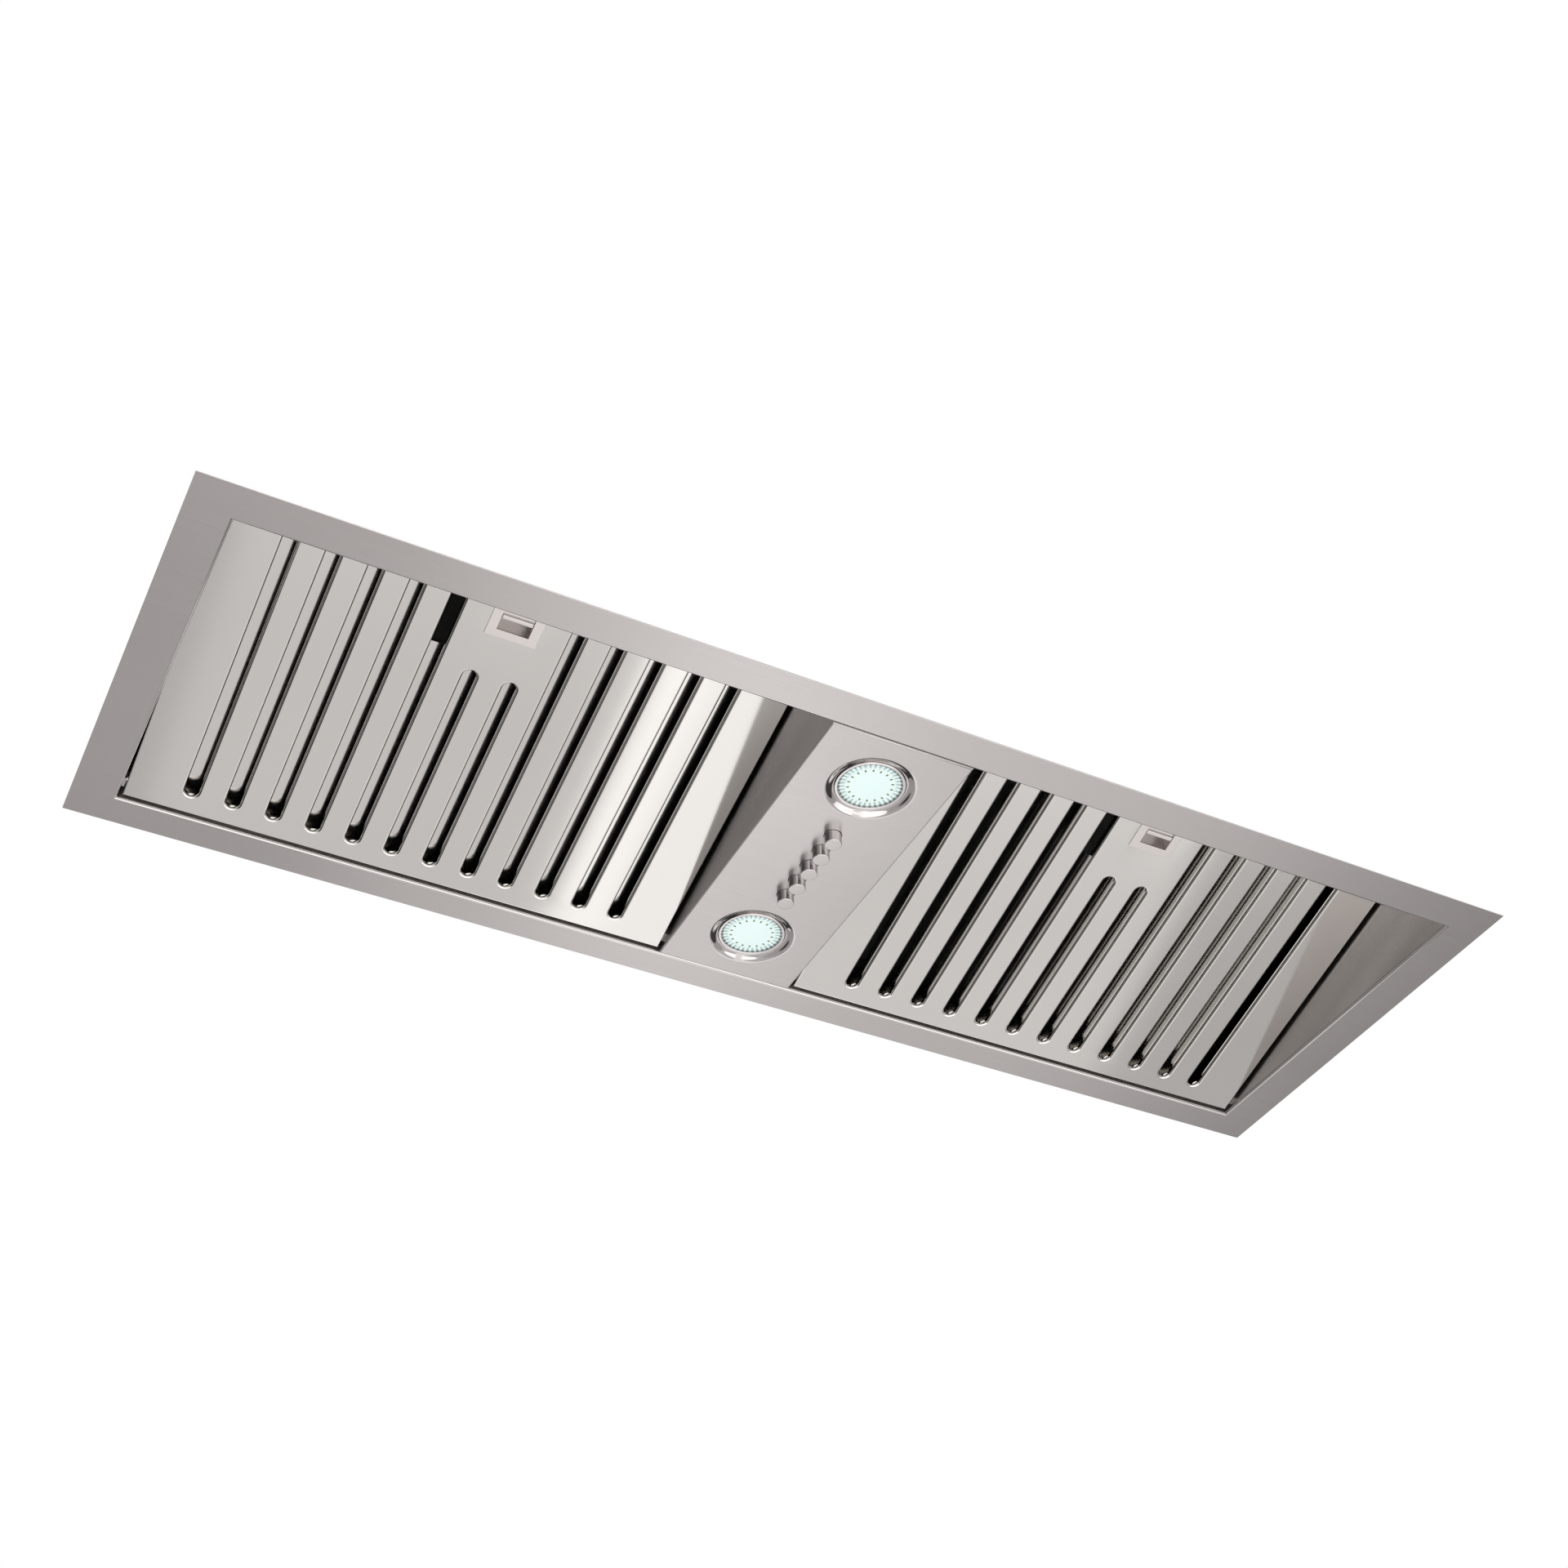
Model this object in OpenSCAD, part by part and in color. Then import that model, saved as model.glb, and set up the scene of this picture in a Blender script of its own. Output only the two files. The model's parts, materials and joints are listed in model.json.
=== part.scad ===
// Undermount range hood with two baffle filters, a centre panel and a double-inlet blower.
// Origin: centre of the flange, in the plane of its upper face, which seats under the cabinet.
// +X to the right, -Y to the cook, +Z up. Millimetres.

/* [Flange] */
// Overall width of the flange
hood_w = 860; // [830:1:900]
// Overall depth of the flange, front to back
hood_d = 294; // [286:1:306]
// Visible border at each end
border_side = 27; // [26:0.5:32]
// Visible border along the front
border_front = 25.5; // [24.5:0.5:28]
// Visible border along the back
border_back = 22.8; // [21:0.2:26]
// Steel thickness of the flange and its skirt
flange_t = 1; // [0.8:0.1:1.2]
// Outside radius of the bend from flange to skirt
bend_r = 2; // [1.6:0.1:2.6]

/* [Canopy] */
// Steel thickness of the canopy, the motor casing and the cover
canopy_t = 0.8; // [0.6:0.1:1]
// Play between skirt and canopy
canopy_gap = 0.3; // [0.2:0.05:0.4]
// Height of the skirt above the filters' highest point
skirt_over = 23; // [20:1:30]
// Height of the plenum above the skirt
plenum_h = 45; // [38:1:60]

/* [Centre panel] */
// Width of the centre panel over its cheeks
panel_w = 94.6; // [92:0.2:100]
// Steel thickness of the centre panel
panel_t = 1; // [0.8:0.1:1.2]
// Gap between the panel's ends and the opening
panel_gap = 0.2; // [0.15:0.05:0.3]
// Height of the cheeks above the filters' highest point
cheek_over = 11; // [10:0.5:16]

/* [Lamps] */
// Distance of each lamp from the middle of the row
lamp_off = 80.8; // [79:0.2:84]
// Distance of the row of lamps and buttons behind the flange's centre
row_y = 1.6; // [0:0.2:3]
// Radius of the stamped dish round each lamp
dish_r = 28.2; // [27:0.2:30]
// Radius of the hole in the middle of the dish
dish_hole_r = 21.8; // [21.4:0.1:22.6]
// Depth of the dish
dish_depth = 2.4; // [2:0.1:3]
// Radius of the lens
lens_r = 20; // [19:0.1:20.2]

/* [Buttons] */
// Number of push buttons
button_count = 5; // [5]
// Spacing of the buttons
button_pitch = 16.2; // [15.6:0.1:17]
// Radius of a button
button_r = 5.4; // [5:0.1:5.8]
// Height by which a button stands out of the panel
button_out = 7.6; // [6:0.1:9]
// Travel of a button
button_travel = 3; // [2.5:0.1:3.5]

/* [Filters] */
// Slope of the filters, front edge up
slope = 16; // [15:0.25:17]
// Gap between a filter and the walls at its ends
filter_side_gap = 2.35; // [2.1:0.05:3]
// Gap between a filter's lower back edge and the back wall
filter_back_gap = 3.4; // [3.35:0.05:4]
// Height of that edge above the flange's lower face
filter_back_up = 1.1; // [0.9:0.1:2]
// Steel thickness of a filter's face
face_t = 0.8; // [0.6:0.1:1]
// Height of the upright rim round a filter
rim_h = 11.2; // [10.8:0.1:11.3]
// Steel thickness of the rear baffle sheet
baffle_t = 0.7; // [0.5:0.1:0.8]
// Spacing of the slots
slot_pitch = 25.16; // [24.8:0.04:26]
// Clear width of a slot
slot_w = 8.6; // [8:0.1:9.2]
// Visible radius of the lip round a slot
lip_r = 1.65; // [1.3:0.05:1.8]
// Height of a slot's lip behind the face
lip_h = 3.4; // [2.8:0.1:3.8]
// Distance from a filter's edge to the tip of a slot
slot_tip = 10.7; // [10:0.1:13]
// Distance from a latch's frame back to the two short slots
short_slot_gap = 25.7; // [23:0.1:31]
// Width of a rear channel over its legs
channel_w = 18.5; // [17.5:0.1:19.5]
// Height of the legs of a rear channel
leg_h = 4; // [3:0.1:4.4]

/* [Latches] */
// Width of a latch's frame
latch_w = 32; // [31:0.1:33]
// Length of a latch, from its frame's back edge to the filter's front edge
latch_l = 56; // [55:0.5:59]
// Width of the finger hole
finger_w = 20; // [18:0.1:20.6]
// Length of the finger hole along the slope
finger_l = 7.5; // [7:0.1:9]
// Travel of the slider
latch_travel = 5.5; // [5:0.1:6]
// Length of tongue that stands out of the filter's front edge
tongue_out = 5.5; // [5:0.1:6]

/* [Blower] */
// Radius of the impeller
fan_r = 68; // [64:0.5:69]
// Width of the impeller
fan_w = 112; // [104:1:114]
// Number of impeller blades
blade_count = 36; // [24:1:40]
// Radius of the motor shaft
shaft_r = 4; // [3.5:0.1:4.5]
// Radius of the motor's shell
motor_r = 41; // [38:0.5:43]
// Length of the motor's shell
motor_l = 58; // [54:1:60]

/* [Casing and outlet] */
// Width of the motor casing
casing_w = 330; // [300:1:340]
// Depth of the motor casing
casing_d = 240; // [236:1:242]
// Height of the motor casing
casing_h = 175; // [172:1:190]
// Outer radius of the outlet collar
collar_r = 75; // [74:0.5:76]
// Height of the outlet collar
collar_h = 45; // [40:1:60]
// Steel thickness of the collar and its flaps
collar_t = 0.8; // [0.6:0.1:1]

/* [Fastening] */
// Thickness of the cabinet board that the flange closes on
board_t = 16; // [15:1:18]
// Distance between the two clamps at one end
clamp_pitch = 160; // [140:1:170]
// Radius of the wood screw hole in a clamp
clamp_hole_r = 2.25; // [2:0.05:2.5]
// Radius of the hole for the mains cable in the gland
gland_hole_r = 3.8; // [3.4:0.1:4.2]

/* [Hidden] */
$fn = 48;

// Length by which a cut runs past what it cuts
overrun = 1;
// Play between pieces that are fixed to each other
seat_gap = 0.2;
// Play round a piece that moves in another
slide_gap = 0.3;
// Radial play of a shaft in its bearing or a pin in its hole
running_gap = 0.04;

// Opening
open_w = hood_w - 2 * border_side;
open_front = -hood_d / 2 + border_front;
open_back = hood_d / 2 - border_back;
open_d = open_back - open_front;
body_y = (open_front + open_back) / 2;
under_z = -flange_t;

// Filters, measured along the slope from the back edge (s) and up from the face (n)
back_edge_y = open_back - filter_back_gap;
back_edge_z = under_z + filter_back_up;
function fy(s, n) = back_edge_y - s * cos(slope) + n * sin(slope);
function fz(s, n) = back_edge_z + s * sin(slope) + n * cos(slope);
// Place of the studs on a filter's ends, which hang in hooks on the walls
stud_s = 9;
stud_n = 5;
stud_r = 2;
swing_gap = 1.5;
filter_w = open_w / 2 - panel_w / 2 - 2 * filter_side_gap;
filter_x = panel_w / 2 + filter_side_gap + filter_w / 2;
filter_l = stud_s + fy(stud_s, stud_n) - open_front - tongue_out - swing_gap;
filter_top_z = fz(filter_l, rim_h + baffle_t);
slot_margin = 30;
slots_half = floor((filter_w / 2 - slot_margin) / slot_pitch + 1 / 2);
slot_x = [for (i = [-slots_half : slots_half - 1]) (i + 1 / 2) * slot_pitch];
gap_x = [for (i = [-slots_half : slots_half]) i * slot_pitch];
lip_reach = slot_w / 2 + lip_r;
baffle_inset = 1;
gap_inset = 16;
latch_s = filter_l - latch_l;
short_slot_end = latch_s - short_slot_gap;
relief_gap = 22;
relief_s = latch_s - relief_gap;
relief_end = 14;

// Canopy and casing
skirt_h = filter_top_z + skirt_over;
cheek_h = filter_top_z + cheek_over;
canopy_h = skirt_h + plenum_h;
canopy_in_w = open_w + 2 * (flange_t + canopy_gap);
canopy_in_d = open_d + 2 * (flange_t + canopy_gap);
canopy_out_w = canopy_in_w + 2 * canopy_t;
canopy_out_d = canopy_in_d + 2 * canopy_t;
// Lower edge of the canopy's walls, clear of the skirt's bend
canopy_foot_z = bend_r + flange_t;
inlet_border_x = 22;
inlet_border_y = 20;
foot_w = 9;
lid_rim_h = 12;
lid_z = canopy_h + casing_h;
screw_r = 2;
screw_head_r = 3.8;
screw_head_h = 2.2;
screw_len = 6;

// Blower
fan_gap = 4;
scroll_growth = 22;
cutoff_angle = 100;
scroll_t = 1;
scroll_gap = 3;
scroll_start_r = fan_r + fan_gap;
scroll_end_r = scroll_start_r + scroll_growth;
scroll_half_w = fan_w / 2 + fan_gap;
fan_front = 34;
fan_y = body_y - fan_front;
fan_z = canopy_h + scroll_end_r;
inlet_lip = 11;
inlet_r = fan_r - inlet_lip;
outlet_lo_y = fan_y + scroll_start_r * cos(cutoff_angle);
outlet_hi_y = fan_y + scroll_end_r;
outlet_d = outlet_hi_y - outlet_lo_y;
collar_y = (outlet_lo_y + outlet_hi_y) / 2;
scroll_flange = 7;
function scroll_r(a) = scroll_start_r + scroll_growth * (a - cutoff_angle) / (360 - cutoff_angle);

// Bend of a sheet between two faces, in its cross-section
module bend_profile(outer, thick) {
    intersection() {
        difference() {
            circle(r = outer);
            circle(r = outer - thick);
        }
        translate([-outer, -outer]) square([outer, outer]);
    }
}

// Pan head screw, its tip at the origin and its head past the length given
module screw(length) {
    cylinder(r = screw_r, h = length + screw_head_h / 2);
    translate([0, 0, length]) cylinder(r = screw_head_r, h = screw_head_h);
}

// Opening of the skirt in cross-section: upright from z0 + flare, and flared out to z0 below that
module mouth(width, flare, z0, low, high) {
    translate([-width / 2, low]) square([width, high - low]);
    difference() {
        translate([-width / 2 - flare, low]) square([width + 2 * flare, z0 + flare - low]);
        for (side = [-1, 1]) translate([side * (width / 2 + flare), z0 + flare]) circle(r = flare);
    }
}

// The same opening as a solid, with square corners
module mouth_block(width, depth, flare, z0, low, high) {
    translate([0, body_y, 0]) intersection() {
        rotate([90, 0, 0]) linear_extrude(depth + 2 * lead_in, center = true)
            mouth(width, flare, z0, low, high);
        rotate([90, 0, 90]) linear_extrude(width + 2 * lead_in, center = true)
            mouth(depth, flare, z0, low, high);
    }
}

// Box that stands on z0, open below and above, measured inside
module walls(w, d, t, z0, h) {
    translate([0, 0, z0]) linear_extrude(h) difference() {
        square([w + 2 * t, d + 2 * t], center = true);
        square([w, d], center = true);
    }
}

/* Flange with the folded skirt */
lead_in = 2 * bend_r;
module flange_frame() {
    color("lightgrey") difference() {
        union() {
            translate([0, 0, under_z]) linear_extrude(flange_t) square([hood_w, hood_d], center = true);
            mouth_block(open_w + 2 * flange_t, open_d + 2 * flange_t, bend_r - flange_t,
                0, under_z / 2, skirt_h);
        }
        mouth_block(open_w, open_d, bend_r, under_z, under_z - overrun, skirt_h + overrun);
        panel_screw_holes();
    }
}

/* Canopy shell */
module canopy_shell() {
    color("silver") translate([0, body_y, 0]) difference() {
        union() {
            walls(canopy_in_w, canopy_in_d, canopy_t, canopy_foot_z, canopy_h - canopy_foot_z);
            translate([0, 0, canopy_h - canopy_t]) linear_extrude(canopy_t)
                square([canopy_in_w + canopy_t, canopy_in_d + canopy_t], center = true);
        }
        translate([0, 0, canopy_h - canopy_t - overrun]) linear_extrude(canopy_t + 2 * overrun)
            square([casing_w - 2 * inlet_border_x, casing_d - 2 * inlet_border_y], center = true);
        for (side = [-1, 1], y = [-1, 1]) {
            translate([side * canopy_out_w / 2, y * clamp_pitch / 2, clamp_screw_z])
                rotate([0, 90, 0]) cylinder(r = screw_r, h = 2 * overrun + 2 * canopy_t, center = true);
        }
        casing_foot_screws(screw_r);
        translate([0, -body_y, 0]) {
            for (p = concat(box_drops, driver_drops)) translate([p[0], p[1], canopy_h - canopy_t - overrun])
                cylinder(r = wire_r + slide_gap, h = canopy_t + 2 * overrun);
        }
    }
}

/* Centre panel */
lens_up = 1.2;
panel_end_h = 30;
panel_screw_x = 30;
panel_screw_z = 18;
dish_steps = 10;
button_hole_gap = 0.25;
panel_len = open_d - 2 * panel_gap;

// Height of the dish above the panel, over the radius from its hole to its rim
function dish_z(r) = dish_depth * (1 + cos(180 * (r - dish_hole_r) / (dish_r - dish_hole_r))) / 2;
dish_radii = [for (i = [0 : dish_steps]) dish_hole_r + (dish_r - dish_hole_r) * i / dish_steps];

module centre_panel() {
    color("lightgrey") difference() {
        union() {
            translate([0, body_y, 0]) {
                translate([0, 0, under_z + panel_t / 2]) cube([panel_w, panel_len, panel_t], center = true);
                for (side = [-1, 1])
                    translate([side * (panel_w - panel_t) / 2, 0, (under_z + cheek_h) / 2])
                        cube([panel_t, panel_len, cheek_h - under_z], center = true);
                for (side = [-1, 1])
                    translate([0, side * (panel_len - panel_t) / 2, (under_z + panel_end_h) / 2])
                        cube([panel_w, panel_t, panel_end_h - under_z], center = true);
            }
            for (side = [-1, 1]) translate([0, row_y + side * lamp_off, under_z])
                cylinder(r = dish_r + panel_t, h = panel_t);
        }
        for (side = [-1, 1]) translate([0, row_y + side * lamp_off, under_z - overrun])
            cylinder(r = dish_r, h = panel_t + 2 * overrun);
        for (i = [0 : button_count - 1]) translate([0, button_y(i), under_z - overrun])
            cylinder(r = button_r + button_hole_gap, h = panel_t + 2 * overrun);
        panel_screw_holes();
    }
    color("lightgrey") for (side = [-1, 1]) translate([0, row_y + side * lamp_off, under_z]) dish();
}

// Stamped dish: the sheet rises from the panel to the hole for the lamp
module dish() {
    rotate_extrude() polygon(concat(
        [for (r = dish_radii) [r, dish_z(r)]],
        [for (i = [dish_steps : -1 : 0]) [dish_radii[i], dish_z(dish_radii[i]) + panel_t]]));
}

function button_y(i) = row_y + (i - (button_count - 1) / 2) * button_pitch;

panel_screw_len = panel_t + panel_gap + flange_t;
module panel_screw_holes() {
    for (x = [-1, 1], y = [-1, 1])
        translate([x * panel_screw_x, body_y + y * open_d / 2, panel_screw_z]) rotate([90, 0, 0])
            cylinder(r = screw_r, h = 2 * (panel_screw_len + overrun), center = true);
}

module panel_screws() {
    color("grey") for (x = [-1, 1], y = [-1, 1])
        translate([x * panel_screw_x, body_y + y * (open_d / 2 + flange_t), panel_screw_z])
            rotate([y * 90, 0, 0]) screw(panel_screw_len);
}

/* Cover over the electrics, between the cheeks */
cover_rim_h = 12;
module centre_cover() {
    cover_in_w = panel_w - 2 * panel_t - 2 * seat_gap;
    color("silver") difference() {
        translate([0, body_y, 0]) union() {
            translate([0, 0, cheek_h + canopy_t / 2])
                cube([panel_w, panel_len, canopy_t], center = true);
            for (side = [-1, 1])
                translate([side * (cover_in_w - canopy_t) / 2, 0, cheek_h - cover_rim_h / 2])
                    cube([canopy_t, panel_len - 2 * cover_rim_h, cover_rim_h], center = true);
        }
        for (x = [box_cable_x, -box_cable_x]) translate([x, cable_back_y, cheek_h - overrun])
            cylinder(r = wire_r + slide_gap, h = canopy_t + 2 * overrun);
    }
}

/* Catch rails along the front wall, one for each filter */
rail_up = 12;
rail_gap = 0.7;
rail_t = 0.8;
module catch_rails() {
    color("silver") for (side = [-1, 1]) catch_rail(side);
}

module catch_rail(side) {
    s_in = filter_l + rail_gap;
    wall_y = open_front + seat_gap;
    low_z = fz(s_in, 0);
    rail_w = open_w / 2 - panel_w / 2 - 2 * seat_gap;
    difference() {
        translate([side * (panel_w / 2 + seat_gap + rail_w / 2) - rail_w / 2, 0, 0])
            rotate([90, 0, 90]) linear_extrude(rail_w) polygon([
                [fy(s_in, 0), low_z],
                [fy(s_in, rail_up), fz(s_in, rail_up)],
                [fy(s_in + rail_t, rail_up), fz(s_in + rail_t, rail_up)],
                [fy(s_in + rail_t, rail_t), low_z + rail_t],
                [wall_y + rail_t, low_z + rail_t],
                [wall_y + rail_t, low_z + rail_up],
                [wall_y, low_z + rail_up],
                [wall_y, low_z]]);
        on_filter(side) translate([0, -s_in - rail_t / 2, tongue_n + tongue_t / 2])
            cube([tongue_hole_w, rail_t + 2 * slide_gap, tongue_hole_h], center = true);
    }
}

/* Hooks on the end walls and the cheeks, open above, that the filters' studs hang in */
hook_w = 8;
hook_wall = 1.4;
hook_up = 3;
hook_gap = 0.45;
hook_t = filter_side_gap - hook_gap;
module filter_hooks() {
    color("silver") for (x = [-open_w / 2, -panel_w / 2 - hook_t, panel_w / 2, open_w / 2 - hook_t]) hook(x);
}

// Hook plate with its low face in x at the place given
module hook(x) {
    half = stud_r + running_gap;
    translate([x, fy(stud_s, stud_n), fz(stud_s, stud_n)]) rotate([90, 0, 90])
        linear_extrude(hook_t) difference() {
            translate([-hook_w / 2, -half - hook_wall]) square([hook_w, half + hook_wall + hook_up]);
            circle(r = half);
            translate([-half, 0]) square([2 * half, hook_up + overrun]);
        }
}

/* Clamps that hold the cabinet board against the flange */
clamp_w = 30;
clamp_t = 2;
clamp_foot = 21;
clamp_foot_hole = 9;
clamp_top_over = 13;
clamp_slot_l = 16;
clamp_screw_over = 15;
clamp_screw_z = skirt_h + clamp_screw_over;
module cabinet_clamps() {
    color("grey") for (side = [-1, 1], y = [-1, 1])
        translate([side * canopy_out_w / 2, body_y + y * clamp_pitch / 2, board_t])
            rotate([0, 0, side > 0 ? 0 : 180]) clamp();
}

module clamp() {
    leg_top = clamp_screw_z - board_t + clamp_top_over;
    difference() {
        union() {
            translate([0, -clamp_w / 2, 0]) cube([clamp_foot, clamp_w, clamp_t]);
            translate([0, -clamp_w / 2, 0]) cube([clamp_t, clamp_w, leg_top]);
        }
        translate([clamp_t + clamp_foot_hole, 0, -overrun])
            cylinder(r = clamp_hole_r, h = clamp_t + 2 * overrun);
        translate([clamp_t / 2, 0, clamp_screw_z - board_t]) rotate([0, 90, 0])
            linear_extrude(clamp_t + 2 * overrun, center = true) stadium(clamp_slot_l, screw_r + slide_gap);
    }
}

// Outline with round ends, along its own X
module stadium(length, r) {
    square([length - 2 * r, 2 * r], center = true);
    for (side = [-1, 1]) translate([side * (length / 2 - r), 0]) circle(r = r);
}

module clamp_screws() {
    color("silver") for (side = [-1, 1], y = [-1, 1])
        translate([side * (canopy_out_w / 2 - canopy_t), body_y + y * clamp_pitch / 2, clamp_screw_z])
            rotate([0, side * 90, 0]) screw(canopy_t + clamp_t);
}

/* Motor casing */
module motor_casing() {
    color("silver") translate([0, body_y, 0]) difference() {
        union() {
            walls(casing_w - 2 * canopy_t, casing_d - 2 * canopy_t, canopy_t, canopy_h, casing_h);
            translate([0, 0, canopy_h]) linear_extrude(canopy_t) difference() {
                square([casing_w + 2 * foot_w, casing_d], center = true);
                square([casing_w - 2 * canopy_t, casing_d - 2 * canopy_t], center = true);
            }
        }
        casing_foot_screws(screw_r);
        casing_lid_screws(screw_r);
        translate([casing_w / 2, cable_y - body_y, cable_z]) rotate([0, 90, 0])
            cylinder(r = wire_r + slide_gap, h = 2 * overrun + 2 * canopy_t, center = true);
    }
}

foot_screw_pitch = 90;
lid_screw_pitch = 80;
// Shanks of the screws that hold the casing's feet down, round the casing's centre
module casing_foot_screws(r) {
    for (side = [-1, 1], i = [-1, 1])
        translate([side * (casing_w + foot_w) / 2, i * foot_screw_pitch, canopy_h])
            cylinder(r = r, h = 2 * (canopy_t + overrun), center = true);
}

// Shanks of the screws through the lid's rim at the casing's ends
module casing_lid_screws(r) {
    for (side = [-1, 1], i = [-1, 1])
        translate([side * casing_w / 2, i * lid_screw_pitch, lid_z - lid_rim_h / 2]) rotate([0, 90, 0])
            cylinder(r = r, h = 2 * (2 * canopy_t + overrun), center = true);
}

/* Lid of the motor casing */
lid_reach = seat_gap + canopy_t;
module casing_lid() {
    color("lightgrey") difference() {
        translate([0, body_y, 0]) union() {
            translate([0, 0, lid_z]) linear_extrude(canopy_t)
                square([casing_w + 2 * lid_reach, casing_d + 2 * lid_reach], center = true);
            walls(casing_w + 2 * seat_gap, casing_d + 2 * seat_gap, canopy_t, lid_z - lid_rim_h, lid_rim_h);
        }
        translate([0, collar_y, lid_z + canopy_t / 2])
            cube([2 * scroll_half_w, outlet_d, canopy_t + 2 * overrun], center = true);
        translate([0, body_y, 0]) casing_lid_screws(screw_r);
        collar_screw_holes();
    }
}

module casing_screws() {
    color("grey") translate([0, body_y, 0]) {
        for (side = [-1, 1], i = [-1, 1])
            translate([side * (casing_w + foot_w) / 2, i * foot_screw_pitch, canopy_h - canopy_t])
                screw(2 * canopy_t);
        for (side = [-1, 1], i = [-1, 1])
            translate([side * (casing_w / 2 - canopy_t), i * lid_screw_pitch, lid_z - lid_rim_h / 2])
                rotate([0, side * 90, 0]) screw(2 * canopy_t + seat_gap);
    }
}

/* Outlet collar with its flaps */
collar_base_w = 14;
collar_screw_in = 6;
collar_z = lid_z + canopy_t;
bead_w = 2.5;
bead_h = 2;
rod_r = 2;
knuckle_wall = 1.5;
rod_up = 14;
flap_gap = 0.9;
flap_t = collar_t;
rod_z = collar_z + rod_up;
knuckle_r = rod_r + running_gap + knuckle_wall;
knuckle_l = 24;
knuckle_gap = 1;
flap_r = collar_r - collar_t - flap_gap;
flap_inner = knuckle_r + slide_gap;

module outlet_collar() {
    color("lightgrey") translate([0, collar_y, collar_z]) difference() {
        union() {
            cylinder(r = collar_r + collar_base_w, h = collar_t, $fn = 96);
            cylinder(r = collar_r, h = collar_h, $fn = 96);
        }
        translate([0, 0, -overrun]) cylinder(r = collar_r - collar_t, h = collar_h + 2 * overrun, $fn = 96);
        translate([0, 0, rod_up]) rotate([0, 90, 0])
            cylinder(r = rod_r + running_gap, h = 2 * (collar_r + overrun), center = true);
        translate([0, -collar_y, -collar_z]) collar_screw_holes();
    }
    color("lightgrey") translate([0, collar_y, rod_z - flap_t / 2 - bead_h - slide_gap]) difference() {
        cylinder(r = collar_r - collar_t, h = bead_h, $fn = 96);
        translate([0, 0, -overrun])
            cylinder(r = collar_r - collar_t - bead_w, h = bead_h + 2 * overrun, $fn = 96);
        translate([0, 0, bead_h / 2])
            cube([2 * collar_r, 2 * flap_inner, bead_h + 2 * overrun], center = true);
    }
}

module collar_screw_holes() {
    for (a = [45 : 90 : 315]) translate([0, collar_y, lid_z]) rotate([0, 0, a])
        translate([collar_r + collar_base_w - collar_screw_in, 0, 0])
            cylinder(r = screw_r, h = 2 * (canopy_t + collar_t + overrun), center = true);
}

module collar_screws() {
    color("grey") for (a = [45 : 90 : 315]) translate([0, collar_y, lid_z]) rotate([0, 0, a])
        translate([collar_r + collar_base_w - collar_screw_in, 0, 0]) screw(canopy_t + collar_t);
}

module damper_rod() {
    color("silver") translate([0, collar_y, rod_z]) rotate([0, 90, 0])
        cylinder(r = rod_r, h = 2 * collar_r - collar_t, center = true);
}

// One flap: a half disc with two knuckles; side -1 is the front one, 1 the back one
module damper_flap(side) {
    knuckle_x = side < 0 ? [-3, 1] : [-1, 3];
    step = (knuckle_l + knuckle_gap) / 2;
    translate([0, collar_y, rod_z]) difference() {
        union() {
            intersection() {
                translate([0, 0, -flap_t / 2]) cylinder(r = flap_r, h = flap_t, $fn = 96);
                translate([0, side * (flap_inner + flap_r / 2), 0])
                    cube([2 * flap_r, flap_r, 2 * flap_t], center = true);
            }
            for (k = knuckle_x) translate([k * step, 0, 0]) {
                rotate([0, 90, 0]) cylinder(r = knuckle_r, h = knuckle_l, center = true);
                translate([0, side * flap_inner, 0])
                    cube([knuckle_l, 2 * knuckle_wall, flap_t], center = true);
            }
        }
        rotate([0, 90, 0]) cylinder(r = rod_r + running_gap, h = 2 * flap_r, center = true);
    }
}

module damper_flap_front() { color("gainsboro") damper_flap(-1); }
module damper_flap_back() { color("gainsboro") damper_flap(1); }

/* Scroll */
scroll_step = 10;
scroll_angles = [for (a = [cutoff_angle : scroll_step : 360]) a];

// Turns a cross-section drawn in y and z so that it runs along X
module along_x(width) {
    translate([-width / 2, fan_y, fan_z]) rotate([90, 0, 90]) linear_extrude(width) children();
}

// Outline of the scroll, grown by an amount, open towards the lid
module scroll_outline(grow) {
    polygon(concat(
        [for (a = scroll_angles) (scroll_r(a) + grow) * [cos(a), sin(a)]],
        [[scroll_end_r + grow, lid_z - fan_z],
         [(scroll_start_r + grow) * cos(cutoff_angle) - grow / 2, lid_z - fan_z]]));
}

module scroll_wrapper() {
    color("silver") difference() {
        union() {
            along_x(2 * scroll_half_w) scroll_outline(scroll_t);
            translate([0, collar_y, lid_z - scroll_t / 2])
                cube([2 * scroll_half_w, outlet_d + 2 * scroll_flange, scroll_t], center = true);
        }
        along_x(2 * scroll_half_w + 2 * overrun) scroll_outline(0);
        translate([0, collar_y, lid_z - scroll_t / 2])
            cube([2 * scroll_half_w + overrun, outlet_d, scroll_t + 2 * overrun], center = true);
    }
}

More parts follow.
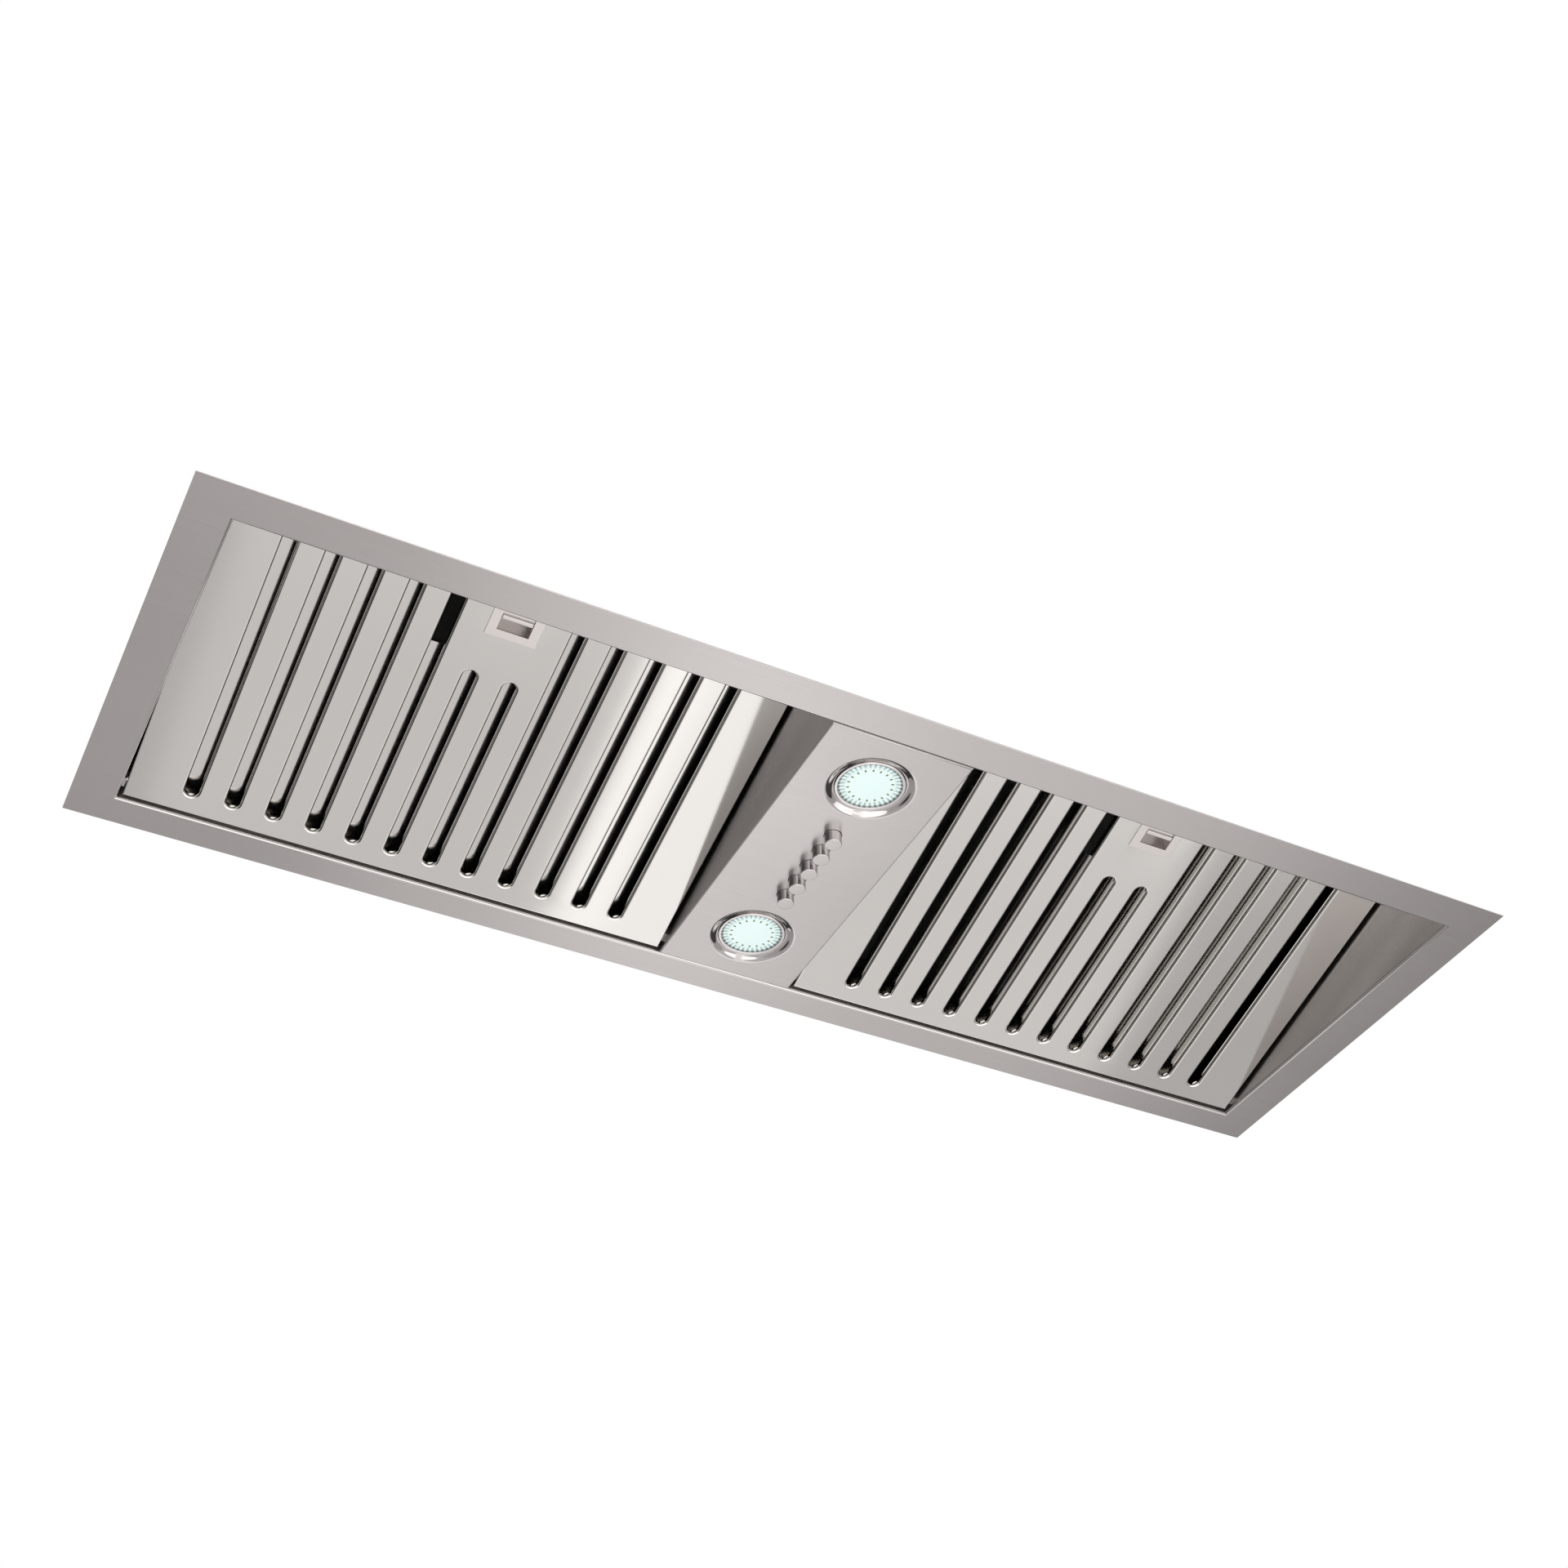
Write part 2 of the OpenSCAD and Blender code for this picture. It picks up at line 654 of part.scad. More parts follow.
// Side plate with its rolled inlet ring, on the side given
module scroll_side(side) {
    ring_h = 4;
    plate_x = side * (scroll_half_w + scroll_t / 2);
    difference() {
        union() {
            translate([plate_x, 0, 0]) along_x(scroll_t) scroll_outline(scroll_t);
            translate([plate_x + side * scroll_flange / 2, collar_y, lid_z - scroll_t / 2])
                cube([scroll_flange + scroll_t, outlet_d, scroll_t], center = true);
            translate([plate_x + side * ring_h / 2, fan_y, fan_z]) rotate([0, 90, 0])
                cylinder(r = inlet_r + scroll_t, h = ring_h, center = true);
        }
        translate([plate_x, fan_y, fan_z]) rotate([0, 90, 0])
            cylinder(r = inlet_r, h = 2 * (ring_h + overrun) + scroll_t, center = true);
        if (side > 0) bracket_holes();
    }
}

module scroll_side_left() { color("gainsboro") scroll_side(-1); }
module scroll_side_right() { color("gainsboro") scroll_side(1); }

/* Impeller */
blade_d = 12;
blade_t = 1;
blade_lean = 25;
ring_t = 2;
disc_t = 2;
hub_r = 9;
hub_l = 14;
hub_gap = 0.02;
motor_x = 8;
module impeller() {
    color("dimgrey") translate([0, fan_y, fan_z]) rotate([0, 90, 0]) difference() {
        union() {
            cylinder(r = fan_r - blade_d / 4, h = disc_t, center = true);
            translate([0, 0, -hub_l + disc_t / 2]) cylinder(r = hub_r, h = hub_l);
            for (side = [-1, 1]) translate([0, 0, side * (fan_w - ring_t) / 2]) difference() {
                cylinder(r = fan_r, h = ring_t, center = true);
                cylinder(r = fan_r - blade_d, h = ring_t + overrun, center = true);
            }
            for (i = [0 : blade_count - 1]) rotate([0, 0, 360 * i / blade_count])
                translate([fan_r - blade_d / 2 - blade_t, 0, 0]) rotate([0, 0, blade_lean])
                    cube([blade_d - blade_t, blade_t, fan_w - ring_t], center = true);
        }
        cylinder(r = shaft_r + hub_gap, h = 2 * hub_l + overrun, center = true);
    }
}

/* Motor */
shell_t = 2.5;
shaft_over = 4;
bearing_r = 11;
bearing_w = 7;
bearing_seat_t = 2;
rotor_gap = 0.5;
rotor_r = 22;
rotor_inset = 14;
stator_inset = 12;
shell_gap = 0.1;

module on_shaft() { translate([0, fan_y, fan_z]) rotate([0, 90, 0]) children(); }

module motor_shaft() {
    color("silver") on_shaft() translate([0, 0, -hub_l])
        cylinder(r = shaft_r, h = hub_l + motor_x + motor_l + shaft_over);
}

module motor_rotor() {
    color("grey") on_shaft() translate([0, 0, motor_x + rotor_inset]) difference() {
        cylinder(r = rotor_r, h = motor_l - 2 * rotor_inset);
        translate([0, 0, -overrun]) cylinder(r = shaft_r + hub_gap, h = motor_l);
    }
}

module motor_stator() {
    color("chocolate") on_shaft() translate([0, 0, motor_x + stator_inset]) difference() {
        cylinder(r = motor_r - shell_t - shell_gap, h = motor_l - 2 * stator_inset);
        translate([0, 0, -overrun]) cylinder(r = rotor_r + rotor_gap, h = motor_l);
    }
}

// Half of the motor's shell, its closed end at z = 0
module motor_shell() {
    difference() {
        cylinder(r = motor_r, h = motor_l / 2);
        translate([0, 0, shell_t]) difference() {
            cylinder(r = motor_r - shell_t, h = motor_l);
            cylinder(r = bearing_r + shell_gap + bearing_seat_t, h = bearing_w);
        }
        translate([0, 0, shell_t]) cylinder(r = bearing_r + shell_gap, h = motor_l);
        translate([0, 0, -overrun]) cylinder(r = shaft_r + slide_gap, h = motor_l);
    }
}

module motor_shell_left() { color("darkgrey") on_shaft() translate([0, 0, motor_x]) motor_shell(); }

module motor_shell_right() {
    color("darkgrey") on_shaft() translate([0, 0, motor_x + motor_l]) rotate([180, 0, 0]) motor_shell();
}

module motor_bearings() {
    color("silver") on_shaft() for (z = [shell_t, motor_l - shell_t - bearing_w])
        translate([0, 0, motor_x + z]) difference() {
            cylinder(r = bearing_r, h = bearing_w);
            translate([0, 0, -overrun]) cylinder(r = shaft_r + running_gap, h = bearing_w + 2 * overrun);
        }
}

/* Bracket that carries the motor on the right side plate */
arm_w = 14;
bush_r = 5;
bush_h = 5;
bracket_ring_w = 5;
bush_circle_r = inlet_r + scroll_t + bush_r + seat_gap;
bracket_x = scroll_half_w + scroll_t + bush_h;
arm_count = 3;

module round_arms() {
    for (i = [0 : arm_count - 1]) rotate([0, 0, 360 * (i + 1 / 4) / arm_count]) children();
}

module motor_bracket() {
    color("silver") on_shaft() difference() {
        union() {
            translate([0, 0, bracket_x + scroll_t - bracket_ring_w])
                cylinder(r = motor_r + bracket_ring_w, h = bracket_ring_w);
            round_arms() translate([0, -arm_w / 2, bracket_x])
                cube([bush_circle_r + bush_r, arm_w, scroll_t]);
        }
        translate([0, 0, motor_x]) cylinder(r = motor_r + seat_gap, h = motor_l + bracket_x);
        round_arms() translate([bush_circle_r, 0, bracket_x - overrun])
            cylinder(r = screw_r + running_gap, h = scroll_t + 2 * overrun);
    }
}

module motor_bushes() {
    color("black") on_shaft() round_arms() translate([bush_circle_r, 0, bracket_x - bush_h]) difference() {
        cylinder(r = bush_r, h = bush_h);
        translate([0, 0, -overrun]) cylinder(r = screw_r + running_gap, h = bush_h + 2 * overrun);
    }
}

module bracket_holes() {
    on_shaft() round_arms() translate([bush_circle_r, 0, bracket_x - bush_h - scroll_t - overrun])
        cylinder(r = screw_r, h = scroll_t + 2 * overrun);
}

module bracket_screws() {
    length = scroll_t + bush_h + scroll_t;
    color("grey") on_shaft() round_arms()
        translate([bush_circle_r, 0, bracket_x + scroll_t - length]) screw(length);
}

/* Junction box with what it holds */
box_w = 110;
box_d = 84;
box_h = 42;
box_t = 2;
box_gap = 25;
box_x = casing_w / 2 + box_gap + box_w / 2;
box_back = 20;
box_y = body_y + box_back;
cover_t = 2;
gland_z_up = 22;
gland_nut_r = 10;
gland_nut_l = 9;
gland_thread_r = 8;
gland_dome_l = 8;
box_post_r = 4;
wire_r = 2.6;
cable_y = box_y;
cable_up = 15;
cable_z = canopy_h + cable_up;
box_cable_x = 30;
cable_back_y = open_back - 9;
drop_x = 38;
drop_y = 26;
box_drops = [for (side = [-1, 1]) [box_x - drop_x, box_y + side * drop_y]];
driver_drops = [for (side = [-1, 1]) [-box_x + side * drop_x, box_y]];

module box_corners() {
    for (x = [-1, 1], y = [-1, 1]) translate([
        box_x + x * (box_w / 2 - box_t / 2 - box_post_r),
        box_y + y * (box_d / 2 - box_t / 2 - box_post_r), 0]) children();
}

module junction_box() {
    color("black") difference() {
        union() {
            translate([box_x, box_y, 0])
                walls(box_w - 2 * box_t, box_d - 2 * box_t, box_t, canopy_h, box_h);
            translate([box_x, box_y, canopy_h + box_t / 2]) cube([box_w, box_d, box_t], center = true);
            box_corners() translate([0, 0, canopy_h]) cylinder(r = box_post_r, h = box_h);
        }
        box_corners() translate([0, 0, canopy_h + box_t]) cylinder(r = screw_r, h = box_h);
        translate([box_x + box_w / 2, box_y, canopy_h + gland_z_up]) rotate([0, 90, 0])
            cylinder(r = gland_thread_r, h = 2 * (box_t + overrun), center = true);
        translate([box_x - box_w / 2, cable_y, cable_z]) rotate([0, 90, 0])
            cylinder(r = wire_r + slide_gap, h = 2 * (box_t + overrun), center = true);
        for (p = box_drops) translate([p[0], p[1], canopy_h - overrun])
            cylinder(r = wire_r + slide_gap, h = box_t + 2 * overrun);
    }
}

module junction_cover() {
    color("dimgrey") difference() {
        translate([box_x, box_y, canopy_h + box_h + cover_t / 2])
            cube([box_w, box_d, cover_t], center = true);
        box_corners() translate([0, 0, canopy_h + box_h - overrun])
            cylinder(r = screw_r, h = cover_t + 2 * overrun);
    }
}

module junction_screws() {
    color("silver") box_corners() translate([0, 0, canopy_h + box_h - screw_len]) screw(screw_len + cover_t);
}

module cable_gland() {
    color("dimgrey") translate([box_x + box_w / 2, box_y, canopy_h + gland_z_up]) rotate([0, 90, 0])
        difference() {
            union() {
                translate([0, 0, -box_t - gland_nut_l / 2])
                    cylinder(r = gland_nut_r, h = gland_nut_l / 2, $fn = 6);
                translate([0, 0, -box_t]) cylinder(r = gland_thread_r, h = box_t);
                cylinder(r = gland_nut_r, h = gland_nut_l, $fn = 6);
                translate([0, 0, gland_nut_l])
                    cylinder(r1 = gland_thread_r, r2 = gland_thread_r * 3 / 4, h = gland_dome_l);
            }
            translate([0, 0, -box_t - gland_nut_l])
                cylinder(r = gland_hole_r, h = box_t + 2 * gland_nut_l + gland_dome_l + overrun);
        }
}

terminal_l = 46;
terminal_w = 18;
terminal_h = 14;
terminal_count = 4;
module terminal_block() {
    step = terminal_l / terminal_count;
    color("ivory") translate([box_x + box_w / 8, box_y - box_d / 5, canopy_h + box_t]) difference() {
        translate([-terminal_l / 2, -terminal_w / 2, 0]) cube([terminal_l, terminal_w, terminal_h]);
        for (i = [0 : terminal_count - 1]) translate([(i + 1 / 2) * step - terminal_l / 2, 0, terminal_h / 2])
            cylinder(r = screw_r, h = terminal_h);
    }
}

capacitor_r = 13;
capacitor_l = 56;
capacitor_back = 17;
capacitor_y = box_y + capacitor_back;
clip_t = 1;
clip_w = 14;
module run_capacitor() {
    color("white") translate([box_x - capacitor_l / 2, capacitor_y, canopy_h + box_t + clip_t + capacitor_r])
        rotate([0, 90, 0]) cylinder(r = capacitor_r, h = capacitor_l);
}

module capacitor_clip() {
    inner_r = capacitor_r + seat_gap;
    color("silver") translate([box_x, capacitor_y, canopy_h + box_t]) rotate([90, 0, 90])
        linear_extrude(clip_w, center = true) difference() {
            union() {
                translate([0, clip_t + capacitor_r]) circle(r = inner_r + clip_t);
                translate([-capacitor_r, 0]) square([2 * capacitor_r, clip_t]);
            }
            translate([0, clip_t + capacitor_r]) circle(r = inner_r);
            translate([-2 * capacitor_r, -2 * clip_t]) square([4 * capacitor_r, 2 * clip_t]);
            translate([-2 * capacitor_r, clip_t + capacitor_r * 3 / 2]) square(4 * capacitor_r);
        }
}

/* Lamp driver */
driver_w = 110;
driver_d = 44;
driver_h = 28;
driver_ear = 12;
driver_ear_t = 3;
module lamp_driver() {
    color("whitesmoke") translate([-box_x, box_y, canopy_h]) difference() {
        union() {
            translate([0, 0, driver_h / 2]) cube([driver_w, driver_d, driver_h], center = true);
            translate([0, 0, driver_ear_t / 2])
                cube([driver_w + 2 * driver_ear, driver_d / 2, driver_ear_t], center = true);
        }
        for (side = [-1, 1]) translate([side * (driver_w + driver_ear) / 2, 0, -overrun])
            cylinder(r = screw_r, h = driver_ear_t + 2 * overrun);
    }
}

/* Switches */
switch_w = 24;
switch_h = 22;
switch_z = 16;
switch_margin = 6;
switch_top_z = switch_z + switch_h;
switch_l = (button_count - 1) * button_pitch + 2 * (button_r + switch_margin);
stem_r = 2.4;
stem_in = 4.5;
stem_room = 1.5;
cap_collar_r = 6.6;
cap_collar_h = 1.5;
bracket_t = 1.2;
bracket_foot = 12;

module switch_block() {
    color("ivory") difference() {
        translate([0, row_y, switch_z + switch_h / 2]) cube([switch_w, switch_l, switch_h], center = true);
        for (i = [0 : button_count - 1]) translate([0, button_y(i), switch_z - overrun])
            cylinder(r = stem_r + slide_gap, h = overrun + stem_in + button_travel + stem_room);
    }
}

module switch_bracket() {
    leg_in = switch_w / 2 + seat_gap;
    color("silver") translate([0, row_y, 0]) {
        for (side = [-1, 1]) {
            translate([side * (leg_in + bracket_t / 2), 0, switch_top_z / 2])
                cube([bracket_t, switch_l, switch_top_z], center = true);
            translate([side * (leg_in + bracket_foot / 2), 0, bracket_t / 2])
                cube([bracket_foot, switch_l, bracket_t], center = true);
            translate([side * leg_in, 0, switch_z - bracket_t / 2 - seat_gap])
                cube([bracket_foot / 2, switch_l, bracket_t], center = true);
        }
    }
}

module button(i) {
    color("white") translate([0, button_y(i), 0]) {
        translate([0, 0, under_z - button_out]) cylinder(r = button_r, h = button_out - under_z + slide_gap);
        translate([0, 0, slide_gap]) cylinder(r = cap_collar_r, h = cap_collar_h);
        cylinder(r = stem_r, h = switch_z + stem_in);
    }
}

module button_1() { button(0); }
module button_2() { button(1); }
module button_3() { button(2); }
module button_4() { button(3); }
module button_5() { button(4); }

/* Lamps */
ring_lip_t = 0.6;
ring_lip_in = 0.35;
lens_t = 2;
lens_gap = 0.05;
ring_top = 1;
collar_lip = 2.6;
lamp_body_r = 18.5;
lamp_body_h = 20;
fin_r = 21;
fin_count = 5;
fin_t = 1.4;
lens_z = under_z + dish_depth - seat_gap;
ring_out_r = dish_hole_r - seat_gap / 2;
lamp_base_z = lens_z + lens_t + seat_gap / 2;
lamp_top_z = lamp_base_z + lamp_body_h;

module at_lamps() { for (side = [-1, 1]) translate([0, row_y + side * lamp_off, 0]) children(); }

module lamp_rings() {
    rest_z = under_z + dish_depth + panel_t;
    color("white") at_lamps() rotate_extrude() polygon([
        [lens_r - ring_lip_in, lens_z - ring_lip_t],
        [ring_out_r, lens_z - ring_lip_t],
        [ring_out_r, rest_z],
        [ring_out_r + collar_lip, rest_z],
        [ring_out_r + collar_lip, rest_z + ring_top],
        [lens_r + lens_gap, rest_z + ring_top],
        [lens_r + lens_gap, lens_z - lens_gap / 2],
        [lens_r - ring_lip_in, lens_z - lens_gap / 2]]);
}

module lamp_lenses() {
    color("azure") at_lamps() translate([0, 0, lens_z]) cylinder(r = lens_r, h = lens_t);
}

module lamp_bodies() {
    step = (lamp_body_h - fin_t) / (fin_count - 1);
    color("silver") at_lamps() translate([0, 0, lamp_base_z]) {
        cylinder(r = lamp_body_r, h = fin_t);
        cylinder(r = lamp_body_r * 3 / 4, h = lamp_body_h);
        for (i = [1 : fin_count - 1]) translate([0, 0, i * step]) cylinder(r = fin_r, h = fin_t);
    }
}

// Leaf springs that press each lamp down on its dish
spring_w = 9;
spring_leaf_t = 0.6;
spring_reach = 33;
module lamp_springs() {
    top = lamp_top_z + spring_leaf_t;
    color("silver") at_lamps() for (side = [-1, 1]) rotate([90, 0, 0]) linear_extrude(spring_w, center = true)
        polygon([
            [side * fin_r / 3, lamp_top_z],
            [side * fin_r / 3, top],
            [side * (fin_r + spring_leaf_t), top],
            [side * spring_reach, spring_leaf_t],
            [side * (spring_reach + spring_w), spring_leaf_t],
            [side * (spring_reach + spring_w), 0],
            [side * (spring_reach - spring_leaf_t), 0],
            [side * fin_r, lamp_top_z]]);
}

/* Wiring: from box to motor, switches and driver, and from driver to lamps */
wire_sides = 8;
wire_bend = 6;
wire_bend_steps = 4;
// Direction that no wire follows, which turns the wires' cross-sections
wire_guide = [1, 3, 2];
wire_z = canopy_h - canopy_t - 3 * wire_r;
feed_z = wire_z - 3 * wire_r;
feed_y = cable_back_y - 3 * wire_r;
middle_z = (cheek_h + switch_top_z) / 2;
last_y = button_y(button_count - 1);
motor_end = [motor_x + motor_l, fan_y, fan_z + motor_r * 2 / 3];
motor_wire = [
    [box_x - box_w / 2 + box_t, cable_y, cable_z],
    [casing_w * 2 / 5, cable_y, cable_z],
    [casing_w / 3, fan_y, motor_end[2]],
    motor_end];
switch_wire = [
    [box_drops[1][0], box_drops[1][1], canopy_h + box_t],
    [box_drops[1][0], box_drops[1][1], wire_z],
    [box_drops[1][0], cable_back_y, wire_z],
    [box_cable_x, cable_back_y, wire_z],
    [box_cable_x, cable_back_y, middle_z],
    [0, last_y, switch_top_z + 5 * wire_r],
    [0, last_y, switch_top_z]];
feed_wire = [
    [box_drops[0][0], box_drops[0][1], canopy_h + box_t],
    [box_drops[0][0], box_drops[0][1], feed_z],
    [box_drops[0][0], feed_y, feed_z],
    [driver_drops[1][0], feed_y, feed_z],
    [driver_drops[1][0], driver_drops[1][1], feed_z],
    [driver_drops[1][0], driver_drops[1][1], canopy_h]];
lamp_wire = [
    [driver_drops[0][0], driver_drops[0][1], canopy_h],
    [driver_drops[0][0], driver_drops[0][1], wire_z],
    [driver_drops[0][0], cable_back_y, wire_z],
    [-box_cable_x, cable_back_y, wire_z],
    [-box_cable_x, cable_back_y, middle_z],
    [-box_cable_x, row_y - lamp_off, middle_z],
    [0, row_y - lamp_off, lamp_top_z + 5 * wire_r],
    [0, row_y - lamp_off, lamp_top_z]];
lamp_branch = [
    [-box_cable_x, row_y + lamp_off, middle_z],
    [0, row_y + lamp_off, lamp_top_z + 5 * wire_r],
    [0, row_y + lamp_off, lamp_top_z]];

function unit(v) = v / norm(v);

// Route with each corner turned into a curve
function rounded(route) = concat(
    [route[0]],
    [for (i = [1 : len(route) - 2], k = [0 : wire_bend_steps])
        let (
            t = k / wire_bend_steps,
            before = route[i] - wire_bend * unit(route[i] - route[i - 1]),
            after = route[i] + wire_bend * unit(route[i + 1] - route[i]))
        (1 - t) ^ 2 * before + 2 * t * (1 - t) * route[i] + t ^ 2 * after],
    [route[len(route) - 1]]);

// Closed tube through a list of rings of points
module tube(rings) {
    sides = len(rings[0]);
    last = (len(rings) - 1) * sides;
    skin = [for (k = [0 : len(rings) - 2], i = [0 : sides - 1])
        let (a = k * sides + i, b = k * sides + (i + 1) % sides)
        each [[a, b, b + sides], [a, b + sides, a + sides]]];
    ends = [for (i = [1 : sides - 2]) each [[0, i + 1, i], [last, last + i, last + i + 1]]];
    polyhedron(points = [for (ring = rings) each ring], faces = concat(skin, ends));
}

// Wire swept along a rounded route
module wire(route) {
    path = rounded(route);
    top = len(path) - 1;
    tube([for (k = [0 : top])
        let (
            along = unit(path[min(k + 1, top)] - path[max(k - 1, 0)]),
            across = unit(cross(along, wire_guide)),
            up = cross(across, along))
        [for (i = [0 : wire_sides - 1])
            let (turn = 360 * i / wire_sides)
            path[k] + wire_r * (cos(turn) * across + sin(turn) * up)]]);
}

module wiring_loom() {
    color("dimgrey") {
        wire(motor_wire);
        wire(switch_wire);
        wire(feed_wire);
        wire(lamp_wire);
        wire(lamp_branch);
    }
}

/* Filters */
// Places a filter's own frame: Y runs down the slope to the back edge, Z up from the face
module on_filter(side) {
    translate([side * filter_x, back_edge_y, back_edge_z]) rotate([-slope, 0, 0]) children();
}

function short_slot(i) = i == slots_half - 1 || i == slots_half;
function slot_end(i) = short_slot(i) ? short_slot_end : filter_l - slot_tip;

// Lip rolled round one slot, from s0 to s1 over its clear part
module slot_lip(s0, s1) {
    for (side = [-1, 1]) mirror([side < 0 ? 1 : 0, 0, 0])
        translate([slot_w / 2, -s0, 0]) rotate([90, 0, 0]) linear_extrude(s1 - s0) lip_profile();
    for (end = [0, 1]) translate([0, end == 0 ? -s0 : -s1, 0]) rotate([0, 0, end == 0 ? 0 : 180])
        rotate_extrude(angle = 180) translate([slot_w / 2, 0]) lip_profile();
}

// Cross-section of the lip, its clear side at x = 0
module lip_profile() {
    translate([lip_r, lip_r]) bend_profile(lip_r, face_t);
    translate([0, lip_r]) square([face_t, lip_h - lip_r]);
}

module filter_face(side) {
    color("lightgrey") on_filter(side) {
        difference() {
            union() {
                translate([0, -filter_l / 2, face_t / 2]) cube([filter_w, filter_l, face_t], center = true);
                translate([0, -filter_l / 2, 0]) linear_extrude(rim_h) difference() {
                    square([filter_w, filter_l], center = true);
                    square([filter_w - 2 * face_t, filter_l - 2 * face_t], center = true);
                }
            }
            for (i = [0 : 2 * slots_half - 1])
                translate([slot_x[i], -(slot_tip + slot_end(i)) / 2, -overrun]) rotate([0, 0, 90])
                    linear_extrude(face_t + 2 * overrun) stadium(slot_end(i) - slot_tip, lip_reach);
            translate([0, -(latch_s + latch_body_end) / 2 - latch_lip / 2, 0])
                cube([latch_body_w + 2 * seat_gap, latch_body_end - latch_s - latch_lip + 2 * seat_gap,
                    2 * overrun + 2 * face_t], center = true);
            translate([0, -filter_l, tongue_n + tongue_t / 2])
                cube([tongue_hole_w, 2 * (face_t + overrun), tongue_hole_h], center = true);
        }
        for (i = [0 : 2 * slots_half - 1])
            translate([slot_x[i], 0, 0]) slot_lip(slot_tip + lip_reach, slot_end(i) - lip_reach);
        for (end = [-1, 1]) translate([end * (filter_w / 2 - face_t), -stud_s, stud_n])
            rotate([0, end * 90, 0]) cylinder(r = stud_r, h = face_t + filter_side_gap - slide_gap);
    }
}

module filter_left_face() { filter_face(-1); }
module filter_right_face() { filter_face(1); }

// Rear sheet: channels behind the slots, legs turned forward beside the air gaps
module filter_baffles(side) {
    gap_clear = slot_pitch - channel_w;
    color("silver") on_filter(side) difference() {
        union() {
            translate([0, -filter_l / 2, rim_h + baffle_t / 2])
                cube([filter_w - 2 * baffle_inset, filter_l - 2 * baffle_inset, baffle_t], center = true);
            for (i = [1 : 2 * slots_half - 1]) {
                s_end = gap_end(i);
                translate([gap_x[i], -(gap_inset + s_end) / 2, rim_h - leg_h])
                    linear_extrude(leg_h + baffle_t / 2) difference() {
                        square([gap_clear + 2 * baffle_t, s_end - gap_inset], center = true);
                        square([gap_clear, s_end - gap_inset + overrun], center = true);
                    }
            }
        }
        for (i = [1 : 2 * slots_half - 1]) {
            translate([gap_x[i], -(gap_inset + gap_end(i)) / 2, rim_h])
                cube([gap_clear, gap_end(i) - gap_inset, 4 * baffle_t], center = true);
        }
        translate([slot_x[slots_half - 2], -(relief_s + filter_l - relief_end) / 2, rim_h])
            cube([channel_w - 2 * baffle_t, filter_l - relief_end - relief_s, 4 * baffle_t], center = true);
        translate([0, -(latch_s + latch_body_end) / 2, rim_h])
            cube([latch_body_w + 2 * slide_gap, latch_body_end - latch_s, 4 * baffle_t], center = true);
    }
}

function gap_end(i) = i == slots_half ? short_slot_end : filter_l - gap_inset;

module filter_left_baffles() { filter_baffles(-1); }
module filter_right_baffles() { filter_baffles(1); }

/* Latches */
latch_proud = 0.5;
latch_lip = 2;
latch_body_w = 28;
latch_wall = 2;
latch_back_wall = 2;
latch_floor = 0.8;
latch_h = 10.6;
latch_roof = 1;
slider_w = latch_body_w - 2 * latch_wall - 2 * slide_gap;
tongue_t = 3;
tongue_n = latch_floor + seat_gap;
tongue_hole_w = slider_w + 2 * slide_gap;
tongue_hole_h = tongue_t + 2 * slide_gap;
finger_bar = 3;
finger_s = latch_s + 5;
finger_end = finger_s + finger_l;
latch_body_end = filter_l - face_t - seat_gap;
post_t = 1.5;
rib_s = finger_end + 11;
spring_room = 17.5;
coil_r = 1.7;
coil_wire_r = 0.35;
coil_turns = 9;
coil_sides = 6;
coil_rings = 8;
coil_n = tongue_n + tongue_t + coil_r + coil_wire_r + slide_gap;

module latch_housing(side) {
    body_l = latch_body_end - latch_s - latch_lip;
    inner_w = latch_body_w - 2 * latch_wall;
    room_h = latch_h - latch_floor - latch_roof;
    color("lightgrey") on_filter(side) difference() {
        union() {
            translate([0, -(latch_s + latch_body_end) / 2, -latch_proud / 2])
                cube([latch_w, latch_body_end - latch_s, latch_proud], center = true);
            translate([-latch_body_w / 2, -latch_body_end, -latch_proud / 2])
                cube([latch_body_w, body_l, latch_h + latch_proud / 2]);
        }
        translate([-inner_w / 2, -filter_l, latch_floor])
            cube([inner_w, filter_l - latch_s - latch_lip - latch_back_wall, room_h]);
        translate([-finger_w / 2, -filter_l, -latch_proud - overrun])
            cube([finger_w, filter_l - finger_s, latch_floor + latch_proud + 2 * overrun]);
        translate([-coil_r - 2 * slide_gap, -rib_s - post_t - spring_room, latch_h - latch_roof - overrun])
            cube([2 * coil_r + 4 * slide_gap, spring_room, latch_roof + 2 * overrun]);
    }
    color("lightgrey") on_filter(side)
        translate([-inner_w / 2 + slide_gap / 2, -rib_s - post_t, tongue_n + tongue_t + slide_gap])
            cube([inner_w - slide_gap / 2, post_t, latch_h - latch_roof - tongue_n - tongue_t - slide_gap]);
}

module latch_housing_left() { latch_housing(-1); }
module latch_housing_right() { latch_housing(1); }

module latch_slider(side) {
    visible_w = finger_w - 2 * slide_gap;
    post_s = rib_s + post_t + spring_room;
    color("gainsboro") on_filter(side) {
        translate([-slider_w / 2, -filter_l - tongue_out, tongue_n])
            cube([slider_w, filter_l + tongue_out - finger_end, tongue_t]);
        translate([-visible_w / 2, -finger_end - finger_bar, -latch_proud])
            cube([visible_w, finger_bar, latch_h - latch_roof - slide_gap]);
        translate([-coil_r - coil_wire_r, -post_s - post_t, tongue_n])
            cube([2 * (coil_r + coil_wire_r), post_t, latch_h - latch_roof - slide_gap - tongue_n]);
    }
}

module latch_slider_left() { latch_slider(-1); }
module latch_slider_right() { latch_slider(1); }

